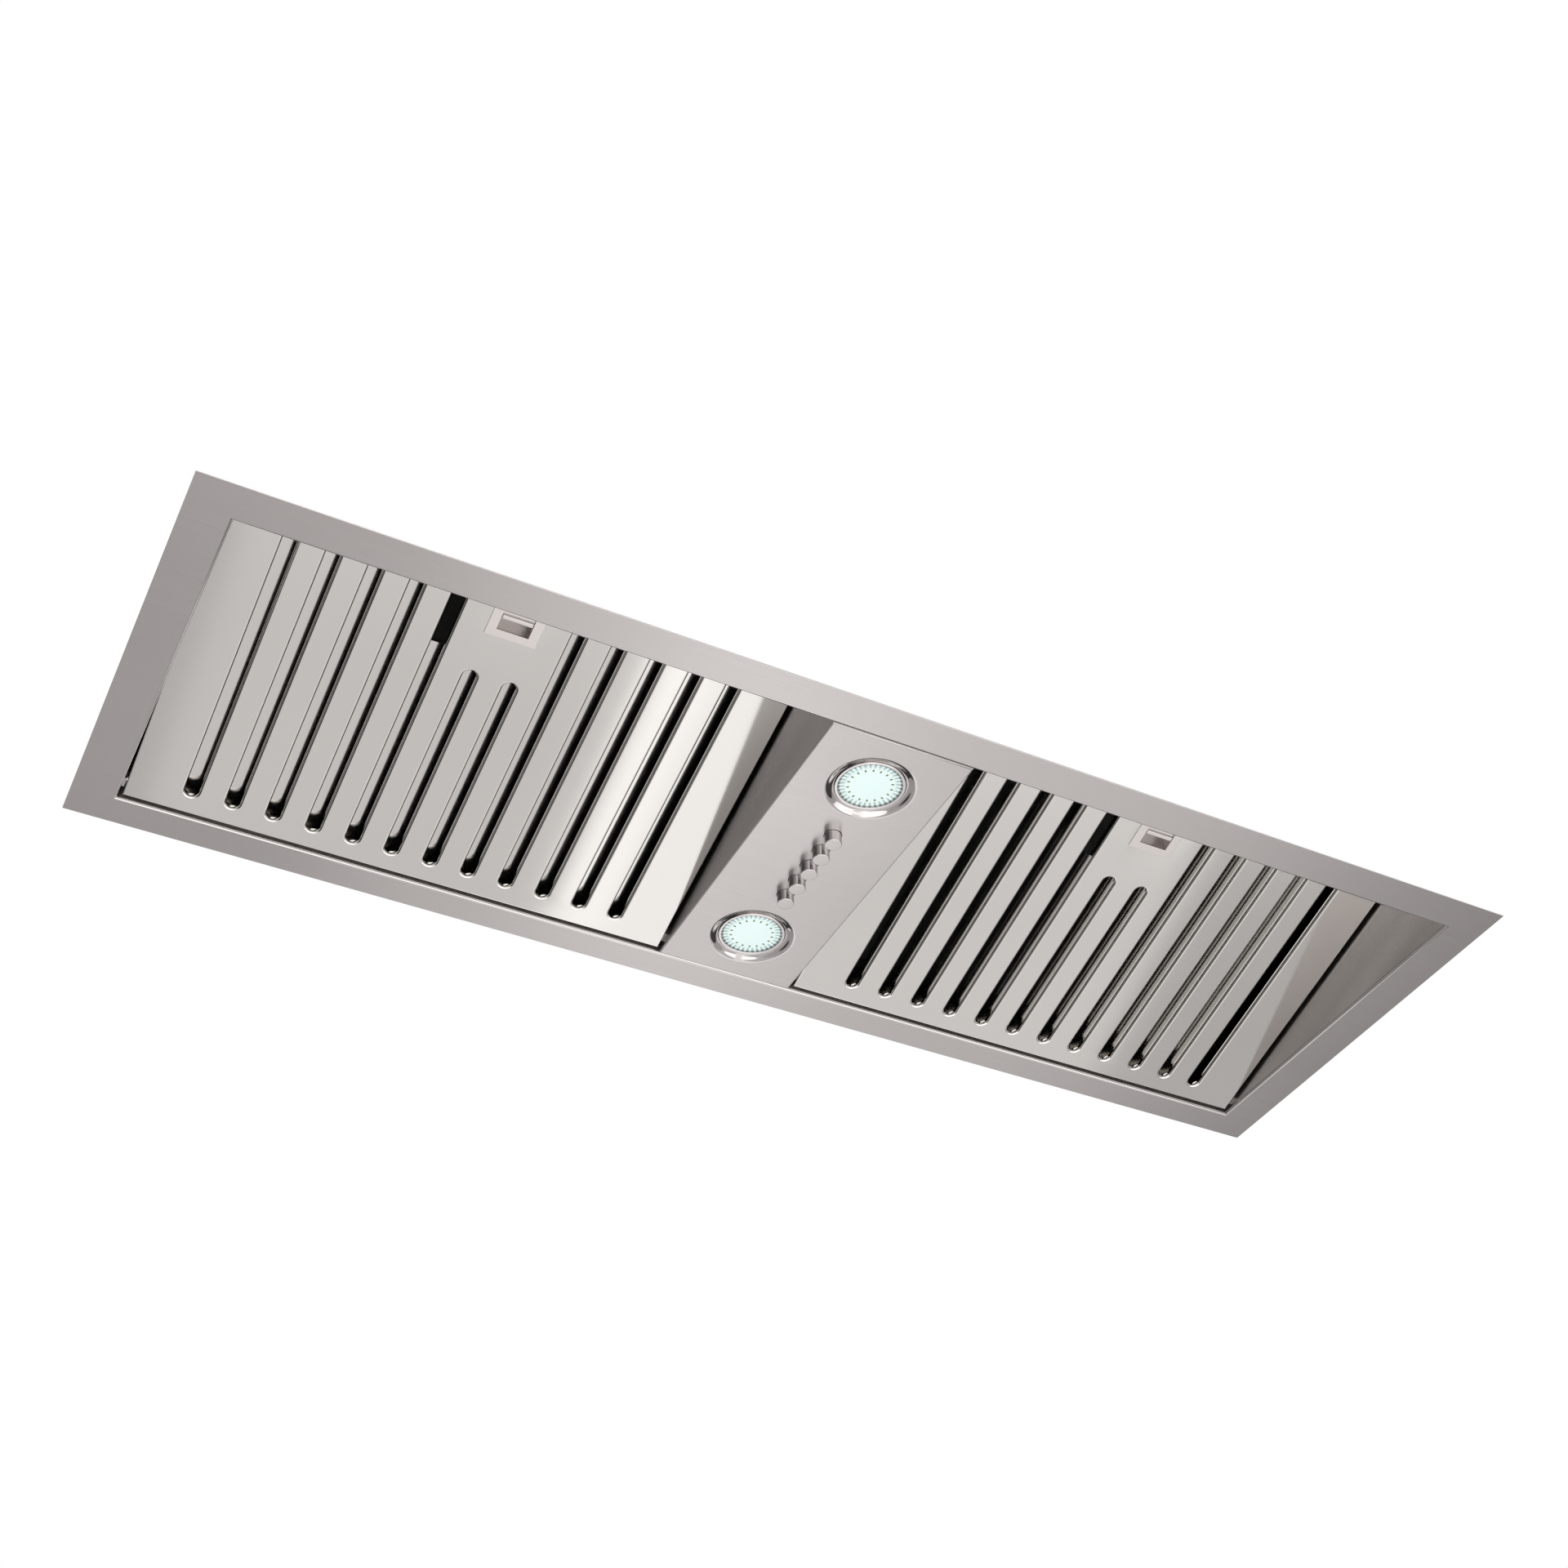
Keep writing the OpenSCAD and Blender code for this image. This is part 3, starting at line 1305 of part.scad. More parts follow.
// Height of a compression spring's wire after a number of turns, its end turns closed up
function coil_height(turns) =
    turns < 1 ? coil_close * turns
    : turns > coil_turns - 1 ? coil_free - coil_close * (coil_turns - turns)
    : coil_close + (coil_free - 2 * coil_close) * (turns - 1) / (coil_turns - 2);
wire_play = 0.45;
spring_end_gap = 0.15;
coil_close = 2 * coil_wire_r + wire_play;
coil_free = spring_room - 2 * (coil_wire_r + spring_end_gap);
coil_count = coil_turns * coil_rings;
coil_path = [for (k = [0 : coil_count])
    let (turns = k / coil_rings)
    [coil_r * cos(360 * turns), coil_r * sin(360 * turns), coil_height(turns)]];

// Least gap of the wire to itself, between points about a turn apart
coil_gap = min([for (k = [0 : coil_count - coil_rings], j = [-2 : 2])
    if (k + j + coil_rings <= coil_count) norm(coil_path[k + j + coil_rings] - coil_path[k])])
    - 2 * coil_wire_r;
echo(coil_gap = coil_gap);

module coil_spring() {
    tube([for (k = [0 : coil_count])
        let (turn = 360 * k / coil_rings, out = [cos(turn), sin(turn), 0])
        [for (i = [0 : coil_sides - 1])
            let (tilt = 360 * i / coil_sides)
            coil_path[k] + coil_wire_r * (cos(tilt) * out + sin(tilt) * [0, 0, 1])]]);
}

module latch_spring(side) {
    color("silver") on_filter(side) translate([0, -rib_s - post_t - spring_end_gap - coil_wire_r, coil_n])
        rotate([90, 0, 0]) coil_spring();
}

module latch_spring_left() { latch_spring(-1); }
module latch_spring_right() { latch_spring(1); }

flange_frame();
canopy_shell();
centre_panel();
centre_cover();
panel_screws();
catch_rails();
filter_hooks();
cabinet_clamps();
clamp_screws();
motor_casing();
casing_lid();
casing_screws();
outlet_collar();
collar_screws();
damper_rod();
damper_flap_front();
damper_flap_back();
scroll_wrapper();
scroll_side_left();
scroll_side_right();
impeller();
motor_shaft();
motor_rotor();
motor_stator();
motor_shell_left();
motor_shell_right();
motor_bearings();
motor_bracket();
motor_bushes();
bracket_screws();
junction_box();
junction_cover();
junction_screws();
cable_gland();
terminal_block();
run_capacitor();
capacitor_clip();
lamp_driver();
wiring_loom();
switch_block();
switch_bracket();
button_1();
button_2();
button_3();
button_4();
button_5();
lamp_rings();
lamp_lenses();
lamp_bodies();
lamp_springs();
filter_left_face();
filter_right_face();
filter_left_baffles();
filter_right_baffles();
latch_housing_left();
latch_housing_right();
latch_slider_left();
latch_slider_right();
latch_spring_left();
latch_spring_right();
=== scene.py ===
"""Undermount range hood: the sheet-metal pieces, filters, lamps and buttons that dress the CAD frame."""
import json
import math

import bmesh
import bpy
from bpy.props import FloatProperty, FloatVectorProperty, IntProperty, PointerProperty
from bpy.types import Operator, Panel, PropertyGroup
from mathutils import Matrix, Vector


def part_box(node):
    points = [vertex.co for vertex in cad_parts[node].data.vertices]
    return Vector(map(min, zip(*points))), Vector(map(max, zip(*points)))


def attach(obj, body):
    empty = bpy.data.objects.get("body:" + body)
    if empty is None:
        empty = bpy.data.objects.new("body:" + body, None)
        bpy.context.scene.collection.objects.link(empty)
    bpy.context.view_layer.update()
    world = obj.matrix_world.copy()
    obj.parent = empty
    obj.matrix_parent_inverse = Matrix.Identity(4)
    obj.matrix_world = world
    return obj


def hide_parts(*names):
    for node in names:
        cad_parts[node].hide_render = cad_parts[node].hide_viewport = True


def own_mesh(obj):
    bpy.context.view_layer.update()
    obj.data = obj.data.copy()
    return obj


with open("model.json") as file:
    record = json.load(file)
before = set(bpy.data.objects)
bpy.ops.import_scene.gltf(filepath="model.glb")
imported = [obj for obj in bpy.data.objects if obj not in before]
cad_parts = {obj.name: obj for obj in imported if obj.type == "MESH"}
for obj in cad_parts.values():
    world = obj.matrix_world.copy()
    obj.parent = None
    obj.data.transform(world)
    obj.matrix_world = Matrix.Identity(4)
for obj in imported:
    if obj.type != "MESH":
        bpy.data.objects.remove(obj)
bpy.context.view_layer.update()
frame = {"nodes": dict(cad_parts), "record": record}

bl_info = {
    "name": "Undermount range hood",
    "version": (1, 0, 0),
    "blender": (4, 5, 0),
    "location": "3D view > Sidebar > Hood",
    "description": "Builds the visible pieces of an undermount range hood round its frame",
    "category": "Object",
}

MM = 0.001
SIDES = {"left": -1, "right": 1}
# Facets round each turned piece
FACETS = {"lamp": 96, "heat_sink": 72, "button": 64, "button_hole": 40, "stud": 32, "wire": 12}
# Height of the floor below the flange's upper face, in metres
FLOOR_Z = -1.25


def linear(code):
    """Turns an sRGB hex colour into linear red, green and blue."""
    shares = [int(code[i:i + 2], 16) / 255 for i in (1, 3, 5)]
    return tuple(c / 12.92 if c <= 0.04045 else ((c + 0.055) / 1.055) ** 2.4 for c in shares)


def length(name, description, default):
    """A size property in metres."""
    return FloatProperty(name=name, description=description, default=default, min=0, precision=5,
                         unit="LENGTH")


def colour(name, description, code):
    """A colour property with its default from an sRGB hex code."""
    return FloatVectorProperty(name=name, description=description, default=linear(code), size=3, min=0,
                               max=1, subtype="COLOR")


class HoodFlangeSizes(PropertyGroup):
    """Sizes of the flange and its folded skirt"""
    border_side: length("End border", "Visible border at each end", 27 * MM)
    border_front: length("Front border", "Visible border along the front", 25.5 * MM)
    border_back: length("Back border", "Visible border along the back", 22.8 * MM)
    sheet: length("Sheet", "Steel thickness", 1 * MM)
    bend: length("Bend", "Outside radius of the bend into the skirt", 2 * MM)
    edge: length("Edge", "Radius of the dressed outer edge", 0.35 * MM)


class HoodPanelSizes(PropertyGroup):
    """Sizes of the centre panel with its lamps and buttons"""
    width: length("Width", "Width over the cheeks", 94.6 * MM)
    sheet: length("Sheet", "Steel thickness", 1 * MM)
    bend: length("Bend", "Outside radius of the bends", 1.2 * MM)
    end_height: length("End height", "Height of the tabs at the ends", 30 * MM)
    row_y: length("Row", "Distance of the lamps and buttons behind the centre", 1.6 * MM)
    lamp_off: length("Lamp distance", "Distance of each lamp from the middle of the row", 80.8 * MM)
    dish_radius: length("Dish", "Radius of the stamped dish round a lamp", 28.2 * MM)
    dish_hole: length("Dish hole", "Radius of the hole for the lamp", 21.8 * MM)
    dish_depth: length("Dish depth", "Depth of the stamped dish", 2.4 * MM)
    lens_radius: length("Lens", "Radius of the lens", 20 * MM)
    button_radius: length("Button", "Radius of a push button", 5.4 * MM)
    button_pitch: length("Button spacing", "Distance from one button to the next", 16.2 * MM)
    button_gap: length("Button gap", "Play round a button in its hole", 0.25 * MM)
    button_count: IntProperty(name="Buttons", description="Number of push buttons", default=5, min=1)
    led_count: IntProperty(name="Light diodes", description="Diodes in one lamp", default=18, min=1)


class HoodFilterSizes(PropertyGroup):
    """Sizes of the two sloping filters"""
    slope: FloatProperty(name="Slope", description="Slope of the filters, front edge up",
                         default=math.radians(16), subtype="ANGLE")
    side_gap: length("Side gap", "Gap between a filter and the walls at its ends", 2.35 * MM)
    back_gap: length("Back gap", "Gap between the back edge and the back wall", 3.4 * MM)
    back_up: length("Back height", "Height of the back edge above the flange's lower face", 1.1 * MM)
    run: length("Length", "Length along the slope", 237.03 * MM)
    sheet: length("Sheet", "Steel thickness of the face", 0.8 * MM)
    rim: length("Rim", "Height of the upright rim", 11.2 * MM)
    bend: length("Bend", "Outside radius of the bend into the rim", 1 * MM)
    slot_pitch: length("Slot spacing", "Distance from one slot to the next", 25.16 * MM)
    slot_width: length("Slot", "Clear width of a slot", 8.6 * MM)
    lip_radius: length("Lip", "Radius of the rolled lip round a slot", 1.65 * MM)
    lip_height: length("Lip height", "Height of the lip behind the face", 3.4 * MM)
    slot_tip: length("Slot tip", "Distance from an edge to the tip of a slot", 10.7 * MM)
    short_end: length("Short slots", "Distance of the short slots' tip from the back edge", 155.33 * MM)
    stud_back: length("Stud place", "Distance of the studs from the back edge", 9 * MM)
    stud_up: length("Stud height", "Height of the studs above the face", 5 * MM)
    stud_radius: length("Stud", "Radius of the studs that the filter hangs and swings on", 2 * MM)
    slots: IntProperty(name="Slots", description="Number of slots in one filter", default=12, min=2)


class HoodLatchSizes(PropertyGroup):
    """Sizes of the filters' latches"""
    width: length("Width", "Width of the frame", 32 * MM)
    start: length("Place", "Distance from the filter's back edge", 181.03 * MM)
    body_width: length("Body", "Width of the body behind the frame", 28 * MM)
    body_height: length("Body height", "Height of the body behind the face", 10.6 * MM)
    wall: length("Wall", "Thickness of the body's walls", 2 * MM)
    floor: length("Floor", "Thickness of the body's floor", 0.8 * MM)
    roof: length("Roof", "Thickness of the body's roof", 1 * MM)
    lip: length("Lip", "How far the frame reaches past the body at the back", 2 * MM)
    end_gap: length("End gap", "Distance of the frame from the filter's front edge", 1 * MM)
    proud: length("Proud", "Height of the frame in front of the face", 0.5 * MM)
    hole_in: length("Hole place", "Distance of the finger hole from the frame's back edge", 5 * MM)
    finger_width: length("Finger hole", "Width of the finger hole", 20 * MM)
    finger_length: length("Finger length", "Length of the finger hole", 7.5 * MM)
    play: length("Play", "Gap round the slider", 0.3 * MM)
    slide_up: length("Slider height", "Height of the slider above the face", 1 * MM)
    tongue: length("Tongue", "Thickness of the slider's tongue", 3 * MM)
    reach: length("Reach", "How far the tongue reaches past the filter", 5.5 * MM)
    grip: length("Grip", "Thickness of the upright that a finger pulls", 3 * MM)
    rib_off: length("Rib place", "Distance of the spring's rib from the finger hole", 11 * MM)
    rib: length("Rib", "Thickness of the rib and of the slider's post", 1.5 * MM)


class HoodSpringSizes(PropertyGroup):
    """Sizes of the latch springs"""
    radius: length("Coil", "Radius of the coil at the middle of its wire", 1.7 * MM)
    wire_radius: length("Wire", "Radius of the wire", 0.35 * MM)
    room: length("Room", "Room for the spring when the latch is shut", 17.5 * MM)
    gap: length("End gap", "Gap between the spring and its seats", 0.15 * MM)
    play: length("Play", "Gap between the wires of a closed end turn", 0.45 * MM)
    height: length("Height", "Height of the coil's axis above the filter's face", 6.35 * MM)
    turns: IntProperty(name="Turns", description="Number of turns", default=9, min=4, max=40)
    keep: FloatProperty(name="Pressed length", default=0.68, min=0.2, max=1.0,
                        description="Share of its length left when the latch is pulled")


class HoodColours(PropertyGroup):
    """Colours of the finishes"""
    stainless: colour("Brushed stainless", "Flange, skirt and centre panel", "#CFCAC8")
    filter_steel: colour("Filter stainless", "Filters", "#E7E4E0")
    galvanised: colour("Galvanised sheet", "Canopy, casing and brackets", "#C3C7C9")
    lens: colour("Lens", "Lit lens of a lamp", "#EBFFFC")
    latch: colour("Latch", "Satin zinc of the latches", "#DED8D5")


def add(tree, kind, values=None, links=None, **settings):
    """Adds one node, sets its properties and sockets, and links what feeds it."""
    node = tree.nodes.new(kind)
    for name, value in settings.items():
        setattr(node, name, value)
    for name, value in (values or {}).items():
        node.inputs[name].default_value = value
    for name, source in (links or {}).items():
        tree.links.new(source, node.inputs[name])
    return node


def new_material(name, values):
    """A material with one Principled shader, whose sockets take the values given."""
    material = bpy.data.materials.new(name)
    material.use_nodes = True
    tree = material.node_tree
    tree.nodes.clear()
    shader = add(tree, "ShaderNodeBsdfPrincipled", values)
    add(tree, "ShaderNodeOutputMaterial", links={"Surface": shader.outputs["BSDF"]})
    return material, tree, shader


def streaks(tree, scale, detail=2.0):
    """Noise on Object coordinates, stretched by a scale for each axis, in cells per metre."""
    place = add(tree, "ShaderNodeTexCoord")
    stretched = add(tree, "ShaderNodeMapping", {"Scale": scale}, {"Vector": place.outputs["Object"]})
    return add(tree, "ShaderNodeTexNoise", {"Scale": 1.0, "Detail": detail, "Roughness": 0.6},
               {"Vector": stretched.outputs["Vector"]}).outputs["Fac"]


def ramp(tree, source, low, high, start=0.3, end=0.7):
    """Maps a pattern from its spread, start to end, to the values low to high."""
    return add(tree, "ShaderNodeMapRange",
               {"From Min": start, "From Max": end, "To Min": low, "To Max": high},
               {"Value": source}).outputs["Result"]


def tinted(tree, shader, source, base, low, high, start=0.3, end=0.7):
    """Darkens and lightens a base colour with a pattern."""
    share = ramp(tree, source, 0, 1, start, end)
    dark, light = ((*[c * part for c in base], 1) for part in (low, high))
    mix = add(tree, "ShaderNodeMix", {6: dark, 7: light}, {0: share}, data_type="RGBA")
    tree.links.new(mix.outputs[2], shader.inputs["Base Color"])


def brushed(name, base, roughness, grain, spread, cloud=0.04, drawn_out=0.75):
    """Stainless steel sheet, brushed along one axis: its grain draws highlights out across the scratches.

    grain is (length, width) of a scratch; spread is the direction in which light is drawn out, and
    drawn_out how far.
    """
    material, tree, shader = new_material(
        name, {"Metallic": 1.0, "Roughness": roughness, "Anisotropic": drawn_out})
    fine = streaks(tree, (1 / grain[0], 1 / grain[1], 1 / grain[1]), 3.0)
    broad = streaks(tree, (2.5, 7.0, 7.0), 1.0)
    tree.links.new(ramp(tree, fine, roughness * 0.9, roughness * 1.1), shader.inputs["Roughness"])
    tinted(tree, shader, broad, base, 1 - cloud, 1 + cloud / 2)
    bump = add(tree, "ShaderNodeBump", {"Strength": 0.05, "Distance": 0.05 * MM}, {"Height": fine})
    tree.links.new(bump.outputs["Normal"], shader.inputs["Normal"])
    axis = add(tree, "ShaderNodeCombineXYZ", {0: spread[0], 1: spread[1], 2: spread[2]})
    tree.links.new(axis.outputs["Vector"], shader.inputs["Tangent"])
    return material


def galvanised(name, base):
    """Hot-dip galvanised sheet: flat zinc crystals some 7 mm across, each a little lighter or duller."""
    material, tree, shader = new_material(name, {"Metallic": 1.0, "Roughness": 0.42})
    place = add(tree, "ShaderNodeTexCoord")
    crystals = add(tree, "ShaderNodeTexVoronoi", {"Scale": 140.0}, {"Vector": place.outputs["Object"]})
    shade = add(tree, "ShaderNodeSeparateColor", links={0: crystals.outputs["Color"]}).outputs[0]
    tinted(tree, shader, shade, base, 0.93, 1.02, 0.0, 1.0)
    tree.links.new(ramp(tree, shade, 0.40, 0.46, 0.0, 1.0), shader.inputs["Roughness"])
    return material


def grained(name, base, roughness, metallic, grain, depth, spread=0.08):
    """Cast, moulded or plated surface with a fine even grain.

    grain and depth are the size and the height of one grain, spread how far its tone varies.
    """
    material, tree, shader = new_material(name, {"Metallic": metallic, "Roughness": roughness})
    noise = streaks(tree, (1 / grain,) * 3, 2.0)
    tinted(tree, shader, noise, base, 1 - spread, 1 + spread / 2)
    tree.links.new(ramp(tree, noise, roughness * 0.85, roughness * 1.15), shader.inputs["Roughness"])
    bump = add(tree, "ShaderNodeBump", {"Strength": 0.3, "Distance": depth}, {"Height": noise})
    tree.links.new(bump.outputs["Normal"], shader.inputs["Normal"])
    return material


def chromed(name):
    """Bright chrome plate on turned brass: nearly a mirror, with faint polishing haze."""
    material, tree, shader = new_material(name, {"Metallic": 1.0, "Roughness": 0.05})
    haze = streaks(tree, (300.0, 300.0, 300.0), 2.0)
    tinted(tree, shader, haze, linear("#D8D5D4"), 0.97, 1.0)
    tree.links.new(ramp(tree, haze, 0.03, 0.07), shader.inputs["Roughness"])
    return material


def pressed(name, base):
    """Stainless steel drawn over a press tool: the grain is ironed out, so bends and lips shine."""
    material, tree, shader = new_material(name, {"Metallic": 1.0, "Roughness": 0.06})
    drawn = streaks(tree, (160.0, 160.0, 160.0), 2.0)
    tinted(tree, shader, drawn, base, 0.97, 1.0)
    tree.links.new(ramp(tree, drawn, 0.04, 0.09), shader.inputs["Roughness"])
    return material


def lit_lens(name, base):
    """Prismatic acrylic lens over lit diodes: pale blue-green, brightest in the middle, toothed at its rim.
    Its colour and glow fade at the very edge, a painted shade where the lens sits in the ring's seat.

    Its UV map has the lens's middle at 0 and its rim at 1.
    """
    tooth_count = 36.0
    material, tree, shader = new_material(
        name, {"Roughness": 0.22, "IOR": 1.49, "Coat Weight": 0.6, "Coat Roughness": 0.05,
               "Emission Strength": 0.50})
    place = add(tree, "ShaderNodeUVMap", uv_map="face").outputs["UV"]
    radius = add(tree, "ShaderNodeVectorMath", links={0: place}, operation="LENGTH").outputs["Value"]
    apart = add(tree, "ShaderNodeSeparateXYZ", links={0: place}).outputs
    turn = add(tree, "ShaderNodeMath", links={0: apart["Y"], 1: apart["X"]}, operation="ARCTAN2")
    wave = add(tree, "ShaderNodeMath", {1: tooth_count}, {0: turn.outputs[0]}, operation="MULTIPLY")
    teeth = add(tree, "ShaderNodeMath", links={0: wave.outputs[0]}, operation="SINE").outputs[0]
    toothed = ramp(tree, radius, 0.0, 0.50, 0.74, 0.84)
    dark = add(tree, "ShaderNodeMath", links={0: ramp(tree, teeth, 0, 1, -0.2, 0.6), 1: toothed},
               operation="MULTIPLY")
    # Painted shade: colour and glow darken at the lens's edge, standing in for the shade of the ring's seat
    rim = ramp(tree, radius, 0.0, 0.66, 0.91, 0.95)
    shade = add(tree, "ShaderNodeMath", links={0: dark.outputs[0], 1: rim}, operation="ADD", use_clamp=True)
    for socket, share in (("Base Color", 0.5), ("Emission Color", 1.0)):
        bright, dim = ((*[c * share * part for c in base], 1) for part in (1, 0.1))
        mix = add(tree, "ShaderNodeMix", {6: bright, 7: dim}, {0: shade.outputs[0]}, data_type="RGBA")
        tree.links.new(mix.outputs[2], shader.inputs[socket])
    return material


def all_materials(colours):
    """Every finish by the record's slot."""
    across = (0, 1, 0)
    return {
        "brushed_stainless": brushed("brushed_stainless_304", colours.stainless, 0.30,
                                     (90 * MM, 0.9 * MM), across),
        "filter_stainless": brushed("satin_stainless_430", colours.filter_steel, 0.12,
                                    (60 * MM, 0.7 * MM), across, 0.02, 0.4),
        "pressed_flange": pressed("pressed_stainless_304", colours.stainless),
        "pressed_filter": pressed("pressed_stainless_430", colours.filter_steel),
        "galvanised_sheet": galvanised("galvanised_sheet_steel", colours.galvanised),
        "aluminium_sheet": brushed("mill_finish_aluminium", linear("#CDCFD1"), 0.38,
                                   (40 * MM, 1 * MM), across),
        "lamp_aluminium": grained("die_cast_aluminium", linear("#BFC1C3"), 0.45, 1.0, 0.8 * MM, 0.05 * MM),
        "chrome_trim": chromed("chrome_plated_brass"),
        "latch_zinc": grained("satin_nickel_on_zinc", colours.latch, 0.34, 0.75, 0.6 * MM, 0.02 * MM, 0.03),
        "lamp_glass": lit_lens("prismatic_acrylic_lens", colours.lens),
        "diode": grained("phosphor_over_diode", linear("#7F8A4E"), 0.4, 0.0, 0.4 * MM, 0.02 * MM),
        "zinc_screws": grained("bright_zinc_plated_steel", linear("#B9BCBE"), 0.36, 1.0,
                               0.5 * MM, 0.02 * MM),
        "ground_steel": grained("ground_spring_steel", linear("#C8C8C9"), 0.28, 1.0, 0.4 * MM, 0.01 * MM),
        "motor_iron": grained("stacked_lamination_iron", linear("#6E6A67"), 0.55, 0.9,
                              0.6 * MM, 0.05 * MM),
        "motor_paint": grained("powder_coated_steel", linear("#55585B"), 0.5, 0.0, 0.9 * MM, 0.06 * MM),
        "black_nylon": grained("glass_filled_nylon_moulded", linear("#232427"), 0.52, 0.0,
                               0.7 * MM, 0.05 * MM, 0.2),
        "black_abs": grained("spark_textured_abs", linear("#2B2C2E"), 0.58, 0.0, 0.8 * MM, 0.08 * MM, 0.2),
        "white_plastic": grained("ivory_polyamide_moulded", linear("#DEDDD6"), 0.45, 0.0,
                                 0.9 * MM, 0.04 * MM, 0.04),
        "cable_pvc": grained("pvc_cable_sheath_extruded", linear("#2A2A2C"), 0.5, 0.0,
                             1 * MM, 0.03 * MM, 0.15),
        "rubber": grained("moulded_nitrile_rubber", linear("#1C1C1D"), 0.7, 0.0, 0.6 * MM, 0.05 * MM, 0.2),
    }


finishes = {}


def rows(given, kind):
    """The items of one bmesh kind in what an operator gave back."""
    return [item for item in given if isinstance(item, kind)]


def piece(name, bm, slot, body, nodes, sheet=0.0, crease=32.0, finish=None, second_finish=None):
    """Turns a finished bmesh into a piece that rides on a body and stands for CAD nodes.

    sheet is the thickness that it is given inwards, and edges over crease degrees stay sharp.
    """
    bmesh.ops.recalc_face_normals(bm, faces=bm.faces)
    mesh = bpy.data.meshes.new(name)
    bm.to_mesh(mesh)
    bm.free()
    mesh.shade_smooth()
    mesh.set_sharp_from_angle(angle=math.radians(crease))
    made = bpy.data.objects.new(name, mesh)
    bpy.context.scene.collection.objects.link(made)
    mesh.materials.append(finishes[finish or slot])
    if second_finish:
        mesh.materials.append(finishes[second_finish])
    if sheet:
        wall = made.modifiers.new("Sheet", "SOLIDIFY")
        wall.thickness = sheet
        wall.offset = -1.0
        wall.use_even_offset = True
    normals = made.modifiers.new("Flat faces stay flat", "WEIGHTED_NORMAL")
    normals.mode = "FACE_AREA"
    normals.weight = 100
    normals.keep_sharp = True
    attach(made, body)
    if nodes:
        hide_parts(*nodes)
    return made


def grow(bm, edges, place, finish=0):
    """Extrudes a row of edges once; place moves each new vertex, and the faces take a finish's number."""
    made = bmesh.ops.extrude_edge_only(bm, edges=edges)["geom"]
    for face in rows(made, bmesh.types.BMFace):
        face.material_index = finish
    verts = set(rows(made, bmesh.types.BMVert))
    for vert in verts:
        vert.co = place(vert.co)
    return [e for e in rows(made, bmesh.types.BMEdge) if e.verts[0] in verts and e.verts[1] in verts]


def closed_row(bm, points):
    """A closed row of edges through the points."""
    verts = [bm.verts.new(p) for p in points]
    return [bm.edges.new((verts[i - 1], verts[i])) for i in range(len(verts))]


def rectangle(x0, x1, y0, y1, z):
    """Corners of a rectangle."""
    return [Vector(p) for p in ((x0, y0, z), (x1, y0, z), (x1, y1, z), (x0, y1, z))]


def circle(x, y, z, radius, steps):
    """Points round a circle."""
    return [Vector((x + radius * math.cos(a), y + radius * math.sin(a), z))
            for a in (2 * math.pi * i / steps for i in range(steps))]


def arc(steps):
    """Angles over a quarter turn, without its start."""
    return [math.pi / 2 * i / steps for i in range(1, steps + 1)]


def quarter(radius, steps=6):
    """Points of a bend as (in from the flank, up from the flat), from flat to flank, without its start."""
    return [(radius - radius * math.sin(a), radius - radius * math.cos(a)) for a in arc(steps)]


def edge_points(radius, steps=3):
    """A rounded edge as (in from the flank, up from the flat), from flat to flank."""
    return [(radius, 0.0), *quarter(radius, steps)]


def soften(bm, verts, width, segments=2):
    """Bevels every edge that meets the vertices."""
    edges = list({e for v in verts for e in v.link_edges})
    bmesh.ops.bevel(bm, geom=edges, offset=width, offset_type="OFFSET", affect="EDGES", segments=segments,
                    profile=0.5, material=-1, clamp_overlap=True)


def block(bm, low, high, bevel=0.0, segments=2):
    """A box between two corners, with its edges bevelled."""
    low, high = Vector(low), Vector(high)
    place = Matrix.Translation((low + high) / 2) @ Matrix.Diagonal((*(high - low), 1))
    verts = bmesh.ops.create_cube(bm, size=1, matrix=place)["verts"]
    if bevel:
        soften(bm, verts, bevel, segments)


def turned(bm, profile, centre, steps):
    """Spins a closed profile of (radius, height) points round an upright axis."""
    centre = Vector(centre)
    same = 0.001 * MM
    verts = [bm.verts.new(centre + Vector((r, 0, z))) for r, z in profile]
    edges = [bm.edges.new((verts[i - 1], verts[i])) for i in range(len(verts))]
    bmesh.ops.spin(bm, geom=verts + edges, cent=centre, axis=(0, 0, 1), angle=2 * math.pi, steps=steps,
                   use_merge=True, use_duplicate=False)
    bmesh.ops.remove_doubles(bm, verts=bm.verts, dist=same)
    bmesh.ops.dissolve_degenerate(bm, edges=bm.edges, dist=same)


def join(bm, other):
    """Adds what another bmesh holds, and frees that one."""
    mesh = bpy.data.meshes.new("joined")
    other.to_mesh(mesh)
    other.free()
    bm.from_mesh(mesh)
    bpy.data.meshes.remove(mesh)


def opening():
    """The flange's opening as (x, front y, back y) and the height of the flange's lower face."""
    sizes = bpy.context.scene.hood_flange
    low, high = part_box("flange_frame")
    return (high.x - sizes.border_side, low.y + sizes.border_front, high.y - sizes.border_back, low.z)


def loose(name, bm, material, unseen_by=()):
    """Turns a finished bmesh into an object of the stage, unseen by the kinds of ray named."""
    mesh = bpy.data.meshes.new(name)
    bm.to_mesh(mesh)
    bm.free()
    mesh.materials.append(material)
    made = bpy.data.objects.new(name, mesh)
    bpy.context.scene.collection.objects.link(made)
    for ray in unseen_by:
        setattr(made, "visible_" + ray, False)
    return made


